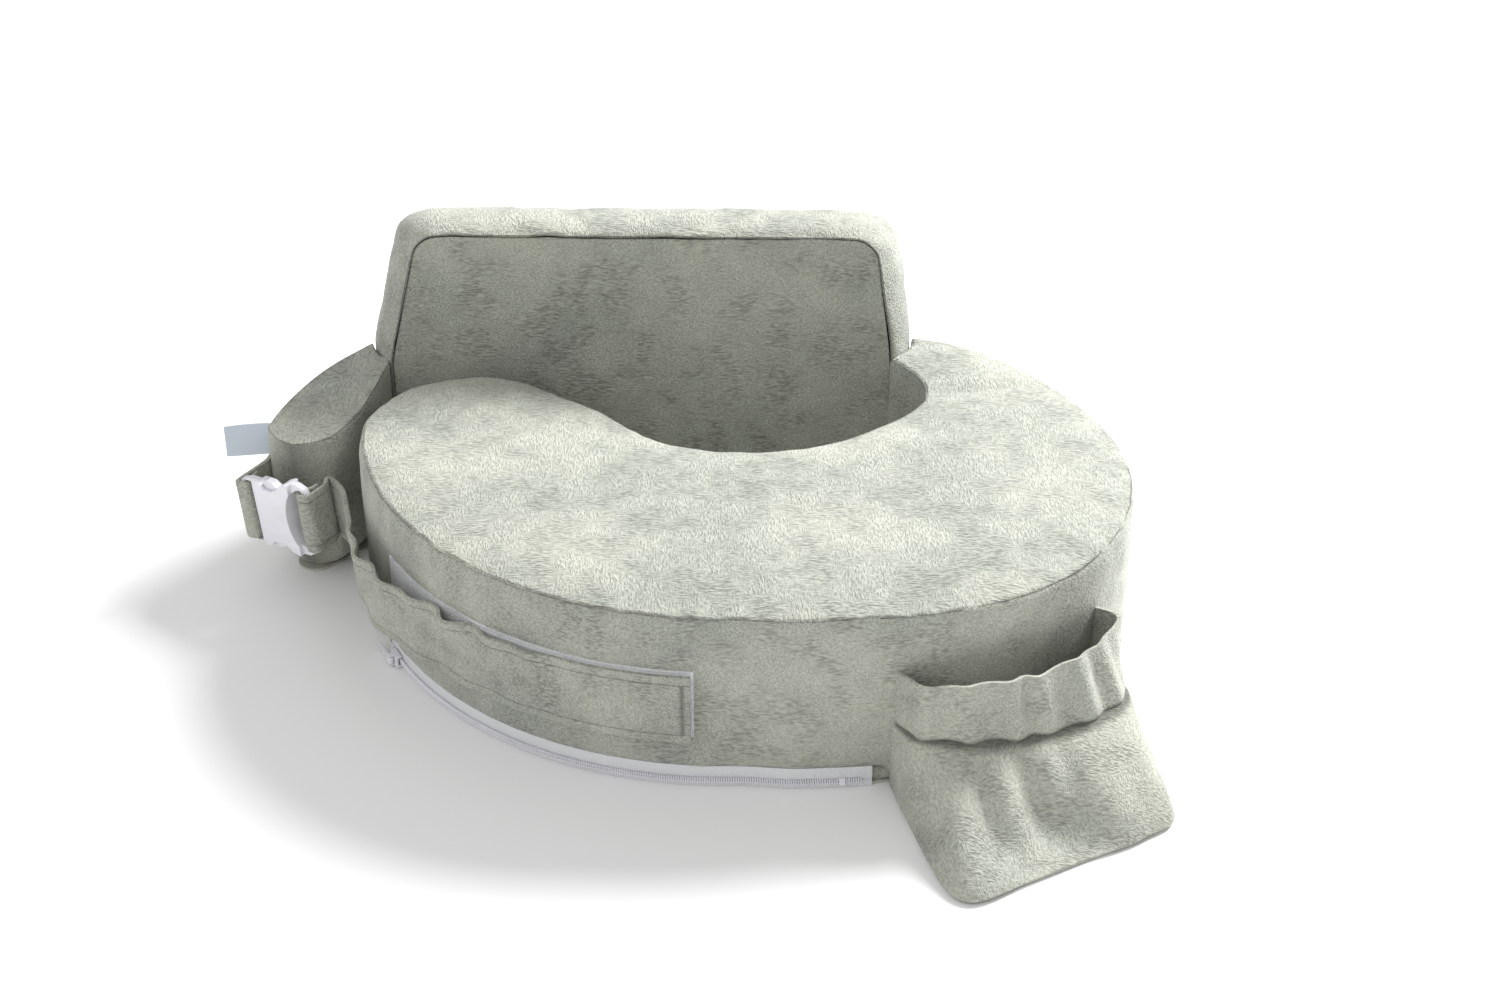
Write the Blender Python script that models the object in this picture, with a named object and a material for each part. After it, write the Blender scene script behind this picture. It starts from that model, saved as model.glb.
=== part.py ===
"""Crescent nursing pillow with a backrest, a buckled waist strap and a bottle pocket.

Units are metres and +Z is up.  The pillow lies on the plane z = 0.  +X runs along the
backrest and +Y points to the wearer's back.  The origin is on the underside, in front of
the waist, at ARC_CENTRE_Y from the centre that the outer wall curves round.  Plan points
are given from that centre, which is also the axis that the zipper slider travels about.
"""
import math

import bpy
import bmesh
from mathutils import Matrix, Vector

# ---- fits ----
GAP = 0.0003                 # between sewn or touching pieces
RUN = 0.0004                 # running clearance of the slider, the pull and the prongs

# ---- platform, seen from above ----
ARC_CENTRE_Y = 0.135         # from the origin back to the outer wall's centre
PLATFORM_HEIGHT = 0.115
OUTER_RADIUS = 0.221         # left and front of the outer wall
TIP_RADIUS = 0.0655          # round lobe that ends the crescent
TIP_BEARING = 187.8          # degrees, where the lobe meets the outer wall
TIP_SHOULDER = 44.0          # degrees on the lobe, where the waist curve begins
ARC_END = 272.0              # degrees, where the wider right side begins
RIGHT_SIDE = [(0.047, -0.2235), (0.118, -0.216), (0.174, -0.193), (0.217, -0.148),
              (0.237, -0.0885), (0.2315, -0.0285), (0.201, 0.0335), (0.1545, 0.0805)]
WAIST = [(-0.0765, 0.0015), (-0.046, -0.0315), (-0.0035, -0.0465), (0.0445, -0.044),
         (0.087, -0.024), (0.12, 0.0075), (0.125, 0.033), (0.116, 0.053)]
WAIST_END_X = 0.1035         # where the waist curve meets the backrest
COVER = 0.003                # plush cover with its lining

# ---- backrest ----
BACK_FRONT_Y = 0.066
BACK_DEPTH = 0.056
BACK_HEIGHT = 0.203
BACK_LEFT = -0.212
BACK_RIGHT = 0.106
BACK_LEAN_LEFT = 0.021       # how far the sides lean in above the platform
BACK_LEAN_RIGHT = 0.011
BACK_CORNER = 0.018          # radius of the two top corners
BOXING_SPREAD = 0.014        # how far the boxing swells past the front panel's seam
BOXING_EASE = 0.017          # depth over which it swells
BOXING_RISE = 0.001          # how far its roof swells

# ---- arm ----
ARM_END_CENTRE = (-0.263, 0.006)
ARM_END_RADIUS = 0.0215
ARM_END_HEIGHT = 0.099       # at the centre of its round end
ARM_END_FROM = -31.0         # degrees, the round end from its inner side
ARM_END_TO = -181.0          # degrees, to its outer side
ARM_INNER = [(-0.223, 0.029), (-0.237, 0.003)]
ARM_OUTER = [(-0.281, 0.022), (-0.269, 0.045), (-0.2505, 0.0685)]

# ---- zipper along the foot of the wall ----
ZIP_LINE = 0.0050            # height of the coil
ZIP_TAPE = 0.0010
ZIP_TAPE_TOP = 0.0140
COIL_HEIGHT = 0.0040
COIL_DEPTH = 0.0018
ZIP_START = 204.0            # degrees, closed end
ZIP_END = 291.0              # degrees, open end, beside the pocket
SLIDER_REST = 207.5          # degrees
SLIDER_LENGTH = 0.010
SLIDER_WALL = 0.0014
PULL_LENGTH = 0.018
PULL_WIDTH = 0.0044
PULL_PLATE = 0.0010
PIN_RADIUS = 0.0007
LUG_RIM = 0.0006             # metal round the pin's ends
EYE_RIM = 0.0009             # metal round the pull's eye
STOP_LENGTH = 0.0030

# ---- waist strap and its hook-and-loop ----
STRAP_WIDTH = 0.044
STRAP_LOW = 0.034
STRAP_THICKNESS = 0.0027
LOOP_THICKNESS = 0.0012
HOOK_THICKNESS = 0.0010
LOOP_MARGIN = 0.0015         # how far the loop tape shows past the strap
BAND_END = 265.0             # degrees, free end of the strap on the wall
BAND_LIFT = 232.0            # degrees, where the strap leaves the wall
LOOP_START = 208.0           # degrees, far end of the loop tape
STRAP_NECK = 0.0395          # width of both straps inside the buckle's slots
ARM_STRAP_SEWN = 0.0216      # how far back the arm strap is sewn down
ARM_STRAP_LEAVES = 0.0098    # where it leaves the arm
FREE_STRAP = [(-0.178, -0.144), (-0.1985, -0.123), (-0.213, -0.100), (-0.2215, -0.0745),
              (-0.227, -0.050), (-0.232, -0.030)]

# ---- side-release buckle, seen along its own axes ----
BUCKLE_CENTRE = (-0.274, -0.0215, 0.056)
BUCKLE_YAW = -32.0           # degrees, from tongue to ring
BUCKLE_ROLL = 7.0            # degrees, ring end up
BUCKLE_HALF_LENGTH = 0.027
BUCKLE_WIDTH = 0.049
SOCKET_HALF_DEPTH = 0.0055
RING_HALF_DEPTH = 0.0022
RING_START = 0.0150          # where the socket thins to its ring
BAR_WIDTH = 0.0045
MOUTH_X = -0.012             # where the tongue's shoulder meets the socket
CAVITY_HALF_DEPTH = 0.0034
CAVITY_HALF_WIDTH = 0.0195
WINDOW_START = -0.0070
WINDOW_END = 0.0055
PRONG_HALF_DEPTH = CAVITY_HALF_DEPTH - RUN
PRONG_ROOT = (-0.0125, 0.013)

# ---- bottle pocket ----
POCKET_CLOTH = 0.0020
POCKET_HEM_LOW = 0.045
POCKET_TOP = 0.080
POCKET_WALL_GAP = 0.0006
POCKET_LEFT = 292.7          # degrees, left seam on the wall
POCKET_RIGHT = 322.0         # degrees, right seam on the wall
ELASTIC_THICKNESS = 0.0010
HEM_FOLD = 0.0018            # inside width of the folded casing
POCKET_FOOT = [(0.11, -0.293), (0.1265, -0.323), (0.1605, -0.3075), (0.193, -0.29),
               (0.228, -0.2705), (0.246, -0.245)]
POCKET_SEAM = [(0.1025, -0.236), (0.1145, -0.24), (0.1395, -0.242), (0.1675, -0.2375),
               (0.2015, -0.223), (0.2245, -0.1965)]
POCKET_RIM = [(0.1015, -0.2335), (0.111, -0.2365), (0.135, -0.236), (0.162, -0.229),
              (0.1945, -0.21), (0.22, -0.1745)]

# ---- tag on the arm ----
TAG_LENGTH = 0.034
TAG_HEIGHT = 0.0215
TAG_THICKNESS = 0.0008
TAG_LOW = 0.0705
TAG_DIRECTION = (-1.0, -0.13)
TAG_ROOT = (-0.2745, 0.028)

ARC_STEP = 4.0               # degrees between points on an arc
CURVE_STEP = 4               # points between two points of a drawn curve


# ---- helpers ----
def clear_scene():
    """Remove whatever the scene holds."""
    for item in list(bpy.data.objects):
        bpy.data.objects.remove(item, do_unlink=True)


def make_collection(name):
    """A new collection in the scene."""
    collection = bpy.data.collections.new(name)
    bpy.context.scene.collection.children.link(collection)
    return collection


def make_material(name, colour, roughness, metallic=0.0):
    """A plain Principled finish."""
    material = bpy.data.materials.new(name)
    material.use_nodes = True
    shader = material.node_tree.nodes["Principled BSDF"]
    shader.inputs["Base Color"].default_value = (*colour, 1.0)
    shader.inputs["Roughness"].default_value = roughness
    shader.inputs["Metallic"].default_value = metallic
    return material


def add_object(name, bm, finish, collection):
    """Turn a bmesh into a named object with its finish."""
    bmesh.ops.recalc_face_normals(bm, faces=bm.faces)
    mesh = bpy.data.meshes.new(name)
    bm.to_mesh(mesh)
    bm.free()
    item = bpy.data.objects.new(name, mesh)
    if finish:
        mesh.materials.append(finish)
    collection.objects.link(item)
    return item


def arc(centre, radius, start, end):
    """Points along an arc, in degrees, both ends included."""
    count = max(2, math.ceil(abs(end - start) / ARC_STEP))
    bearings = [math.radians(start + (end - start) * i / count) for i in range(count + 1)]
    return [Vector((centre[0] + radius * math.cos(b), centre[1] + radius * math.sin(b)))
            for b in bearings]


def smooth(points, steps=CURVE_STEP):
    """A Catmull-Rom curve through the given points."""
    knots = [Vector(p) for p in points]
    knots = [2 * knots[0] - knots[1]] + knots + [2 * knots[-1] - knots[-2]]
    curve = []
    for a, b, c, d in zip(knots, knots[1:], knots[2:], knots[3:]):
        for i in range(steps):
            t = i / steps
            curve.append(0.5 * (2 * b + (c - a) * t + (2 * a - 5 * b + 4 * c - d) * t * t
                                + (3 * b - a - 3 * c + d) * t ** 3))
    return curve + [knots[-2]]


def right_of(direction):
    """Unit vector to the right of a plan direction."""
    return Vector((direction[1], -direction[0])).normalized()


def offset(path, distance):
    """The path moved sideways, to the right of its travel."""
    moved = []
    for i, point in enumerate(path):
        before = path[i] - path[i - 1] if i else path[1] - path[0]
        after = path[i + 1] - path[i] if i + 1 < len(path) else before
        side = (right_of(before) + right_of(after)).normalized()
        moved.append(point + side * (distance / side.dot(right_of(before))))
    return moved


def end_mitre(point, travel, edge, distance):
    """Where a line offset from point by distance meets the edge direction."""
    edge = Vector(edge).normalized()
    return point + edge * (distance / edge.dot(right_of(travel)))


def in_frame(point, height):
    """A plan point from the wall's centre, in the pillow's own frame."""
    return Vector((point[0], point[1] + ARC_CENTRE_Y, height))


def level(value, point):
    """A height that is one number or depends on the plan point."""
    return value(point) if callable(value) else value


def prism(name, outline, low, high, finish, collection):
    """An outline in plan, raised from low to high."""
    bm = bmesh.new()
    floor = bm.faces.new([bm.verts.new(in_frame(p, low)) for p in outline])
    result = bmesh.ops.extrude_face_region(bm, geom=[floor])
    for vert in (v for v in result["geom"] if isinstance(v, bmesh.types.BMVert)):
        vert.co.z = level(high, Vector((vert.co.x, vert.co.y - ARC_CENTRE_Y)))
    return add_object(name, bm, finish, collection)


def loft(name, sections, finish, collection, closed=False):
    """Join rings of points into one solid, with its two ends capped or joined."""
    bm = bmesh.new()
    rings = [[bm.verts.new(p) for p in section] for section in sections]
    count = len(rings[0])
    pairs = list(zip(rings, rings[1:]))
    if closed:
        pairs.append((rings[-1], rings[0]))
    for ring, after in pairs:
        for i in range(count):
            j = (i + 1) % count
            bm.faces.new([ring[i], ring[j], after[j], after[i]])
    if not closed:
        bm.faces.new(rings[0])
        bm.faces.new(list(reversed(rings[-1])))
    return add_object(name, bm, finish, collection)


def strip(name, path, inner, low, high, finish, collection):
    """A standing wall between an outer path and its inner partner."""
    sections = []
    for p, q in zip(path, inner):
        sections.append([in_frame(p, level(low, p)), in_frame(p, level(high, p)),
                         in_frame(q, level(high, p)), in_frame(q, level(low, p))])
    return loft(name, sections, finish, collection)


def layer(name, path, outward, thickness, low, high, finish, collection):
    """A strip of one thickness that lies outward of a path."""
    outer = offset(path, -(outward + thickness))
    inner = offset(path, -outward)
    return strip(name, outer, inner, low, high, finish, collection)


# ---- platform ----
def tip_centre():
    """The lobe touches the outer wall from inside at its bearing."""
    reach = OUTER_RADIUS - TIP_RADIUS
    bearing = math.radians(TIP_BEARING)
    return Vector((reach * math.cos(bearing), reach * math.sin(bearing)))


def boxing_profile():
    """The boxing's outer line: how far out of the front seam, at which depth."""
    back = BACK_FRONT_Y + BACK_DEPTH - COVER - GAP
    front = BACK_FRONT_Y + COVER + GAP
    return [Vector((0.0, front)), Vector((0.60 * BOXING_SPREAD, front + 0.35 * BOXING_EASE)),
            Vector((0.93 * BOXING_SPREAD, front + BOXING_EASE)), Vector((BOXING_SPREAD, back))]


def boxing_reach(depth):
    """How far the boxing stands out of the front seam at a depth."""
    line = boxing_profile()
    if depth <= line[0][1]:
        return 0.0
    for a, b in zip(line, line[1:]):
        if depth <= b[1]:
            return a[0] + (b[0] - a[0]) * (depth - a[1]) / (b[1] - a[1])
    return BOXING_SPREAD


def right_joint():
    """Plan points just clear of the backrest's right side, front to back."""
    line = [Vector((BACK_RIGHT + GAP, BACK_FRONT_Y - GAP))]
    for reach, depth in boxing_profile()[:3]:
        line.append(Vector((BACK_RIGHT + reach + 1.5 * GAP, depth - GAP)))
    end = BACK_FRONT_Y + 0.029
    line.append(Vector((BACK_RIGHT + boxing_reach(end) + 1.5 * GAP, end)))
    return line


def outer_line():
    """Outer wall in plan, from the backrest's right side round the front to the lobe."""
    right = [right_joint()[-1]] + [Vector(p) for p in reversed(RIGHT_SIDE)]
    front = arc((0, 0), OUTER_RADIUS, ARC_END, TIP_BEARING)
    return smooth(right + [front[0]])[:-1] + front


def waist_line():
    """Round the lobe and along the waist to the backrest's front."""
    lobe = arc(tip_centre(), TIP_RADIUS, TIP_BEARING, TIP_SHOULDER)
    end = Vector((WAIST_END_X, BACK_FRONT_Y - GAP))
    return lobe[1:] + smooth([lobe[-1]] + WAIST + [end])[1:]


def platform_inset(distance):
    """The platform's open outline moved in, its ends kept on the backrest's side."""
    line = outer_line() + waist_line()
    joint = right_joint()
    inner = offset(line, distance)
    inner[0] = end_mitre(line[0], line[1] - line[0], joint[-2] - joint[-1], distance)
    inner[-1] = end_mitre(line[-1], line[-1] - line[-2], (1, 0), distance)
    return inner


def platform_outline(distance):
    """The closed outline, moved in by distance except along the backrest."""
    return platform_inset(distance) + right_joint()[:-1]


def crown_index():
    """Where the outer wall's panel and the waist wall's panel are sewn together."""
    return len(outer_line()) + len(arc((0, 0), 1, TIP_BEARING, 90.0)) - 1


def wall_foot(point):
    """The wall stops at the zipper tape where the zipper runs."""
    bearing = bearing_of(point)
    zipped = ZIP_START - 1.3 * ARC_STEP < bearing < ZIP_END + 1.3 * ARC_STEP
    return ZIP_TAPE_TOP + GAP if zipped else COVER + GAP


def build_platform(parts, plush, foam, lining):
    """Foam crescent, its top, its two side walls and the common underside."""
    top = PLATFORM_HEIGHT - COVER
    prism("platform_foam", platform_outline(COVER + GAP), COVER + GAP, top - GAP, foam, parts)
    prism("platform_top_panel", platform_outline(0.0), top, PLATFORM_HEIGHT, plush, parts)
    line = platform_inset(0.0)
    inner = platform_inset(COVER)
    crown = crown_index()
    strip("platform_outer_wall", line[:crown], inner[:crown], wall_foot, top - GAP,
          plush, parts)
    seam = (line[crown] - line[crown - 1]).normalized() * GAP
    line[crown - 1] = line[crown - 1] + seam
    inner[crown - 1] = inner[crown - 1] + seam
    strip("platform_waist_wall", line[crown - 1:], inner[crown - 1:], COVER + GAP,
          top - GAP, plush, parts)
    under = platform_inset(ZIP_TAPE + 2 * GAP)
    under += [Vector((BACK_LEFT, BACK_FRONT_Y))] + arm_line(ZIP_TAPE)
    back = BACK_FRONT_Y + BACK_DEPTH
    under += [Vector((BACK_LEFT - BOXING_SPREAD, back)),
              Vector((BACK_RIGHT + BOXING_SPREAD, back))]
    prism("underside_panel", under, 0.0, COVER, lining, parts)


# ---- backrest ----
def backrest_line():
    """Front seam of the backrest in x and z, from the left foot over the top."""
    foot = COVER + GAP
    left_top = Vector((BACK_LEFT + BACK_LEAN_LEFT, BACK_HEIGHT))
    right_top = Vector((BACK_RIGHT - BACK_LEAN_RIGHT, BACK_HEIGHT))
    left_knee = Vector((BACK_LEFT, PLATFORM_HEIGHT))
    right_knee = Vector((BACK_RIGHT, PLATFORM_HEIGHT))
    line = [Vector((BACK_LEFT, foot)), left_knee]
    line += rounded(left_knee, left_top, right_top, BACK_CORNER)
    line += rounded(left_top, right_top, right_knee, BACK_CORNER)
    return line + [right_knee, Vector((BACK_RIGHT, foot))]


def rounded(before, corner, after, radius):
    """Points of a round corner that touches both of its sides."""
    back = (before - corner).normalized()
    ahead = (after - corner).normalized()
    half = back.angle(ahead) / 2
    reach = radius / math.tan(half)
    start = corner + back * reach
    end = corner + ahead * reach
    centre = corner + (back + ahead).normalized() * (radius / math.sin(half))
    count = 5
    points = []
    for i in range(count + 1):
        chord = start.lerp(end, i / count)
        points.append(centre + (chord - centre).normalized() * radius)
    return points


def at_depth(line, depth):
    """A line in x and z, placed at one depth in the pillow's frame."""
    return [Vector((p[0], depth + ARC_CENTRE_Y, p[1])) for p in line]


def boxing_line(reach, rise):
    """The front seam's line moved out by reach at its sides and by rise at its roof."""
    moved = offset(backrest_line(), -reach)
    knee = PLATFORM_HEIGHT
    stretch = (BACK_HEIGHT + rise - knee) / (BACK_HEIGHT + reach - knee)
    return [Vector((p[0], max(p[1], 0) if p[1] <= knee else knee + (p[1] - knee) * stretch))
            for p in moved]


def plate(name, line, front, back, finish, collection):
    """A flat panel across the backrest."""
    bm = bmesh.new()
    face = bm.faces.new([bm.verts.new(p) for p in at_depth(line, front)])
    result = bmesh.ops.extrude_face_region(bm, geom=[face])
    for vert in (v for v in result["geom"] if isinstance(v, bmesh.types.BMVert)):
        vert.co.y = back + ARC_CENTRE_Y
    return add_object(name, bm, finish, collection)


def build_backrest(parts, plush, foam):
    """Foam block, front and rear panels and the boxing between them."""
    line = backrest_line()
    front = BACK_FRONT_Y
    back = front + BACK_DEPTH
    plate("backrest_front_panel", line, front, front + COVER, plush, parts)
    plate("backrest_rear_panel", boxing_line(BOXING_SPREAD, BOXING_RISE), back - COVER, back,
          plush, parts)
    outer = boxing_profile()
    inner = offset([Vector((p[1], p[0])) for p in outer], COVER)
    inner = [Vector((p[1], p[0])) for p in inner]
    inner[-1][1] = outer[-1][1]
    rises = [BOXING_RISE * p[0] / BOXING_SPREAD for p in outer]
    rings = [at_depth(boxing_line(p[0], rise), p[1]) for p, rise in zip(outer, rises)]
    under = [at_depth(boxing_line(p[0], rise - COVER), p[1]) for p, rise in zip(inner, rises)]
    loft("backrest_boxing", [list(s) for s in zip(*rings, *reversed(under))], plush, parts)
    inner[0] = Vector((-2.2 * COVER, front + COVER + GAP))
    core = [Vector((reach - 1.3 * GAP, depth + GAP)) for reach, depth in inner]
    core[-1][1] -= 2 * GAP
    rises = [core[0][0]] + [rise - COVER - GAP for rise in rises[1:]]
    sections = [at_depth(boxing_line(p[0], rise), p[1]) for p, rise in zip(core, rises)]
    loft("backrest_foam", sections, foam, parts)


# ---- arm ----
def left_joint():
    """Plan points just clear of the backrest's left side, back to front."""
    end = BACK_FRONT_Y + 0.022
    line = [Vector((BACK_LEFT - boxing_reach(end) - 1.5 * GAP, end))]
    for reach, depth in reversed(boxing_profile()[:3]):
        line.append(Vector((BACK_LEFT - reach - 1.5 * GAP, depth - GAP)))
    return line


def arm_line(distance):
    """The arm in plan, from the backrest's front corner round its end, moved in."""
    joint = left_joint()
    end = arc(ARM_END_CENTRE, ARM_END_RADIUS, ARM_END_FROM, ARM_END_TO)
    inner = smooth([joint[-1]] + ARM_INNER + [end[0]])[:-1]
    outer = smooth([end[-1]] + ARM_OUTER + [joint[0]])[1:]
    line = inner + end + outer
    moved = offset(line, distance)
    moved[0] = end_mitre(line[0], line[1] - line[0], joint[-2] - joint[-1], distance)
    moved[-1] = end_mitre(line[-1], line[-1] - line[-2], joint[1] - joint[0], distance)
    return moved


def arm_height(point):
    """The arm's top slopes down from the platform's height to its end."""
    start = left_joint()[2]
    run = Vector(ARM_END_CENTRE) - start
    share = (Vector(point[:2]) - start).dot(run) / run.length_squared
    return PLATFORM_HEIGHT + (ARM_END_HEIGHT - PLATFORM_HEIGHT) * share


def arm_wall_top(point):
    """The arm's walls end just under its top panel."""
    return arm_height(point) - COVER - 2 * GAP


def arm_core_top(point):
    """The arm's foam ends just under its top panel."""
    return arm_height(point) - COVER - GAP


def build_arm(parts, plush, foam):
    """Foam arm, its sloping top and its two walls, sewn at the middle of its end."""
    joint = left_joint()[1:-1]
    prism("arm_foam", arm_line(COVER + GAP) + joint, COVER + GAP, arm_core_top, foam, parts)
    bm = bmesh.new()
    outline = arm_line(0.0) + joint
    floor = bm.faces.new([bm.verts.new(in_frame(p, arm_height(p) - COVER)) for p in outline])
    result = bmesh.ops.extrude_face_region(bm, geom=[floor])
    raised = [v for v in result["geom"] if isinstance(v, bmesh.types.BMVert)]
    bmesh.ops.translate(bm, verts=raised, vec=(0, 0, COVER))
    add_object("arm_top_panel", bm, plush, parts)
    line = arm_line(0.0)
    inner = arm_line(COVER)
    middle = min(range(len(line)), key=lambda i: line[i][1])
    strip("arm_inner_wall", line[:middle + 1], inner[:middle + 1], COVER + GAP, arm_wall_top,
          plush, parts)
    seam = (line[middle + 1] - line[middle]).normalized() * GAP
    line[middle] = line[middle] + seam
    inner[middle] = inner[middle] + seam
    strip("arm_outer_wall", line[middle:], inner[middle:], COVER + GAP, arm_wall_top,
          plush, parts)


# ---- zipper ----
def bearing_of(point):
    """Bearing of a plan point from the wall's centre, 0 to 360 degrees."""
    return math.degrees(math.atan2(point[1], point[0])) % 360


def wall_run(start, end):
    """The outer wall's line between two bearings, in its own direction of travel."""
    wide = [p for p in outer_line() if ARC_END + 0.1 < bearing_of(p) < end]
    return wide + arc((0, 0), OUTER_RADIUS, min(end, ARC_END), start)


def bearing_matrix(bearing):
    """Frame on the wall at a bearing: x outward, y towards a larger bearing."""
    turn = Matrix.Rotation(math.radians(bearing), 4, "Z")
    return Matrix.Translation((0, ARC_CENTRE_Y, 0)) @ turn


def box_at(bm, low, high):
    """A box between two corners, added to a bmesh."""
    size = Vector(high) - Vector(low)
    middle = (Vector(high) + Vector(low)) / 2
    place = Matrix.Translation(middle) @ Matrix.Diagonal((*size, 1.0))
    bmesh.ops.create_cube(bm, size=1.0, matrix=place)


def cut(item, cutter, operation="DIFFERENCE"):
    """An exact boolean that stays on the object."""
    modifier = item.modifiers.new(cutter.name, "BOOLEAN")
    modifier.operation = operation
    modifier.solver = "EXACT"
    modifier.object = cutter
    return modifier


def make_cutter(name, bm, cutters):
    """A cutter that isn't part of the pillow."""
    item = add_object(name, bm, None, cutters)
    item.hide_render = True
    item.display_type = "WIRE"
    return item


def build_zipper(parts, cutters, tape, nylon, metal):
    """Two tapes, the closed coil, its stops, the slider and its pull."""
    tape_line = wall_run(ZIP_START, ZIP_END)
    middle = ZIP_LINE
    coil_low = middle - COIL_HEIGHT / 2
    coil_high = middle + COIL_HEIGHT / 2
    layer("zipper_tape_upper", tape_line, -ZIP_TAPE - GAP / 2, ZIP_TAPE, middle + GAP / 2,
          ZIP_TAPE_TOP, tape, parts)
    layer("zipper_tape_lower", tape_line, -ZIP_TAPE - GAP / 2, ZIP_TAPE, GAP,
          middle - GAP / 2, tape, parts)
    coil_line = wall_run(ZIP_START + 1.5, ZIP_END - 1.5)
    layer("zipper_coil", coil_line, GAP / 2, COIL_DEPTH, coil_low, coil_high, nylon, parts)
    outer = OUTER_RADIUS + GAP / 2 + COIL_DEPTH
    for name, end, past in (("zipper_top_stop", coil_line[-1], coil_line[-2]),
                            ("zipper_bottom_stop", coil_line[0], coil_line[1])):
        run = (end - past).normalized()
        stop = [end + run * GAP, end + run * (GAP + STOP_LENGTH)]
        side = right_of(run) if name == "zipper_top_stop" else -right_of(run)
        outline = [p - side * GAP / 2 for p in stop]
        outline += [p - side * (GAP / 2 + COIL_DEPTH) for p in reversed(stop)]
        prism(name, outline, coil_low, coil_high, metal, parts)
    build_slider(parts, cutters, metal, outer, coil_low, coil_high)


def build_slider(parts, cutters, metal, outer, coil_low, coil_high):
    """The slider clasps the coil; its pull turns on an upright pin."""
    half = SLIDER_LENGTH / 2
    low = coil_low - RUN - SLIDER_WALL
    high = coil_high + RUN + SLIDER_WALL
    face = outer + 1.5 * RUN + SLIDER_WALL
    pin = face + PULL_PLATE / 2 + PIN_RADIUS + 2 * RUN
    lug = pin + PIN_RADIUS + LUG_RIM
    bm = bmesh.new()
    box_at(bm, (OUTER_RADIUS + RUN, -half, low), (lug, half, high))
    slider = add_object("zipper_slider", bm, metal, parts)
    reach = 2 * half
    cheek = 0.7 * SLIDER_WALL
    lug_half = 0.35 * half
    hollows = {
        "slider_channel": ((OUTER_RADIUS - RUN, -reach, coil_low - RUN),
                           (outer + 1.5 * RUN, reach, coil_high + RUN)),
        "slider_mouth": ((face, -reach, low + cheek), (lug + RUN, reach, high - cheek)),
        "slider_lug_rear": ((face, -reach, low - RUN), (lug + RUN, -lug_half, high + RUN)),
        "slider_lug_front": ((face, lug_half, low - RUN), (lug + RUN, reach, high + RUN)),
    }
    place = bearing_matrix(SLIDER_REST)
    for name, (near, far) in hollows.items():
        bm = bmesh.new()
        box_at(bm, near, far)
        tool = make_cutter(name, bm, cutters)
        tool.matrix_world = place
        cut(slider, tool)
    bm = bmesh.new()
    bmesh.ops.create_cone(bm, cap_ends=True, segments=12, radius1=PIN_RADIUS,
                          radius2=PIN_RADIUS, depth=high - low - cheek,
                          matrix=Matrix.Translation((pin, 0, (low + high) / 2)))
    tool = make_cutter("slider_pin", bm, cutters)
    tool.matrix_world = place
    cut(slider, tool, "UNION")
    slider.matrix_world = place
    build_pull(parts, cutters, metal, pin, (low + high) / 2)


def build_pull(parts, cutters, metal, pin, middle):
    """A flat tab with an eye round the slider's pin; it lies along the wall."""
    eye = PIN_RADIUS + RUN
    bm = bmesh.new()
    bmesh.ops.create_cone(bm, cap_ends=True, segments=16, radius1=eye + EYE_RIM,
                          radius2=eye + EYE_RIM, depth=PULL_WIDTH)
    pull = add_object("zipper_pull", bm, metal, parts)
    bm = bmesh.new()
    box_at(bm, (-PULL_PLATE / 2, -PULL_LENGTH, -PULL_WIDTH / 2),
           (PULL_PLATE / 2, 0, PULL_WIDTH / 2))
    tab = make_cutter("pull_tab", bm, cutters)
    cut(pull, tab, "UNION")
    bm = bmesh.new()
    bmesh.ops.create_cone(bm, cap_ends=True, segments=16, radius1=eye, radius2=eye,
                          depth=2 * PULL_WIDTH)
    hole = make_cutter("pull_eye", bm, cutters)
    cut(pull, hole)
    place = bearing_matrix(SLIDER_REST) @ Matrix.Translation((pin, 0, middle))
    for item in (pull, tab, hole):
        item.matrix_world = place


# ---- strap ----
def buckle_matrix():
    """The buckle's frame: x from tongue to ring, y to the arm, z across the strap."""
    centre = in_frame(BUCKLE_CENTRE[:2], BUCKLE_CENTRE[2])
    yaw = Matrix.Rotation(math.radians(BUCKLE_YAW), 4, "Z")
    roll = Matrix.Rotation(math.radians(-BUCKLE_ROLL), 4, "Y")
    return Matrix.Translation(centre) @ yaw @ roll


def ribbon(name, centres, ups, widths, finish, collection):
    """Cloth of even thickness on edge along a route, leaning as its ups say."""
    sections = []
    for i, centre in enumerate(centres):
        before = centres[max(i - 1, 0)]
        after = centres[min(i + 1, len(centres) - 1)]
        side = (after - before).cross(ups[i]).normalized() * (STRAP_THICKNESS / 2)
        rise = ups[i] * (widths[i] / 2)
        sections.append([centre - rise - side, centre + rise - side,
                         centre + rise + side, centre - rise + side])
    return loft(name, sections, finish, collection)


def wrap_radius():
    """From a bar's face to the middle of the strap folded round it."""
    return GAP + 0.62 * STRAP_THICKNESS


def bar_wrap(side):
    """A strap's fold round a buckle bar, in the buckle's x and y, from the arm's side."""
    reach = wrap_radius()
    slant = reach * math.sqrt(0.5)
    thick = RING_HALF_DEPTH
    end = BUCKLE_HALF_LENGTH
    inside = end - BAR_WIDTH
    fold = [(end + reach, thick), (end + reach, -thick), (end + slant, -thick - slant),
            (end, -thick - reach), (inside, -thick - reach), (inside - slant, -thick - slant),
            (inside - reach, -thick), (inside - reach, thick), (inside - slant, thick + slant),
            (inside, thick + reach), (inside + 0.0015, thick + reach + 0.0022),
            (inside + 0.0018, thick + reach + 0.0070)]
    return [(side * x, y) for x, y in fold]


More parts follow.
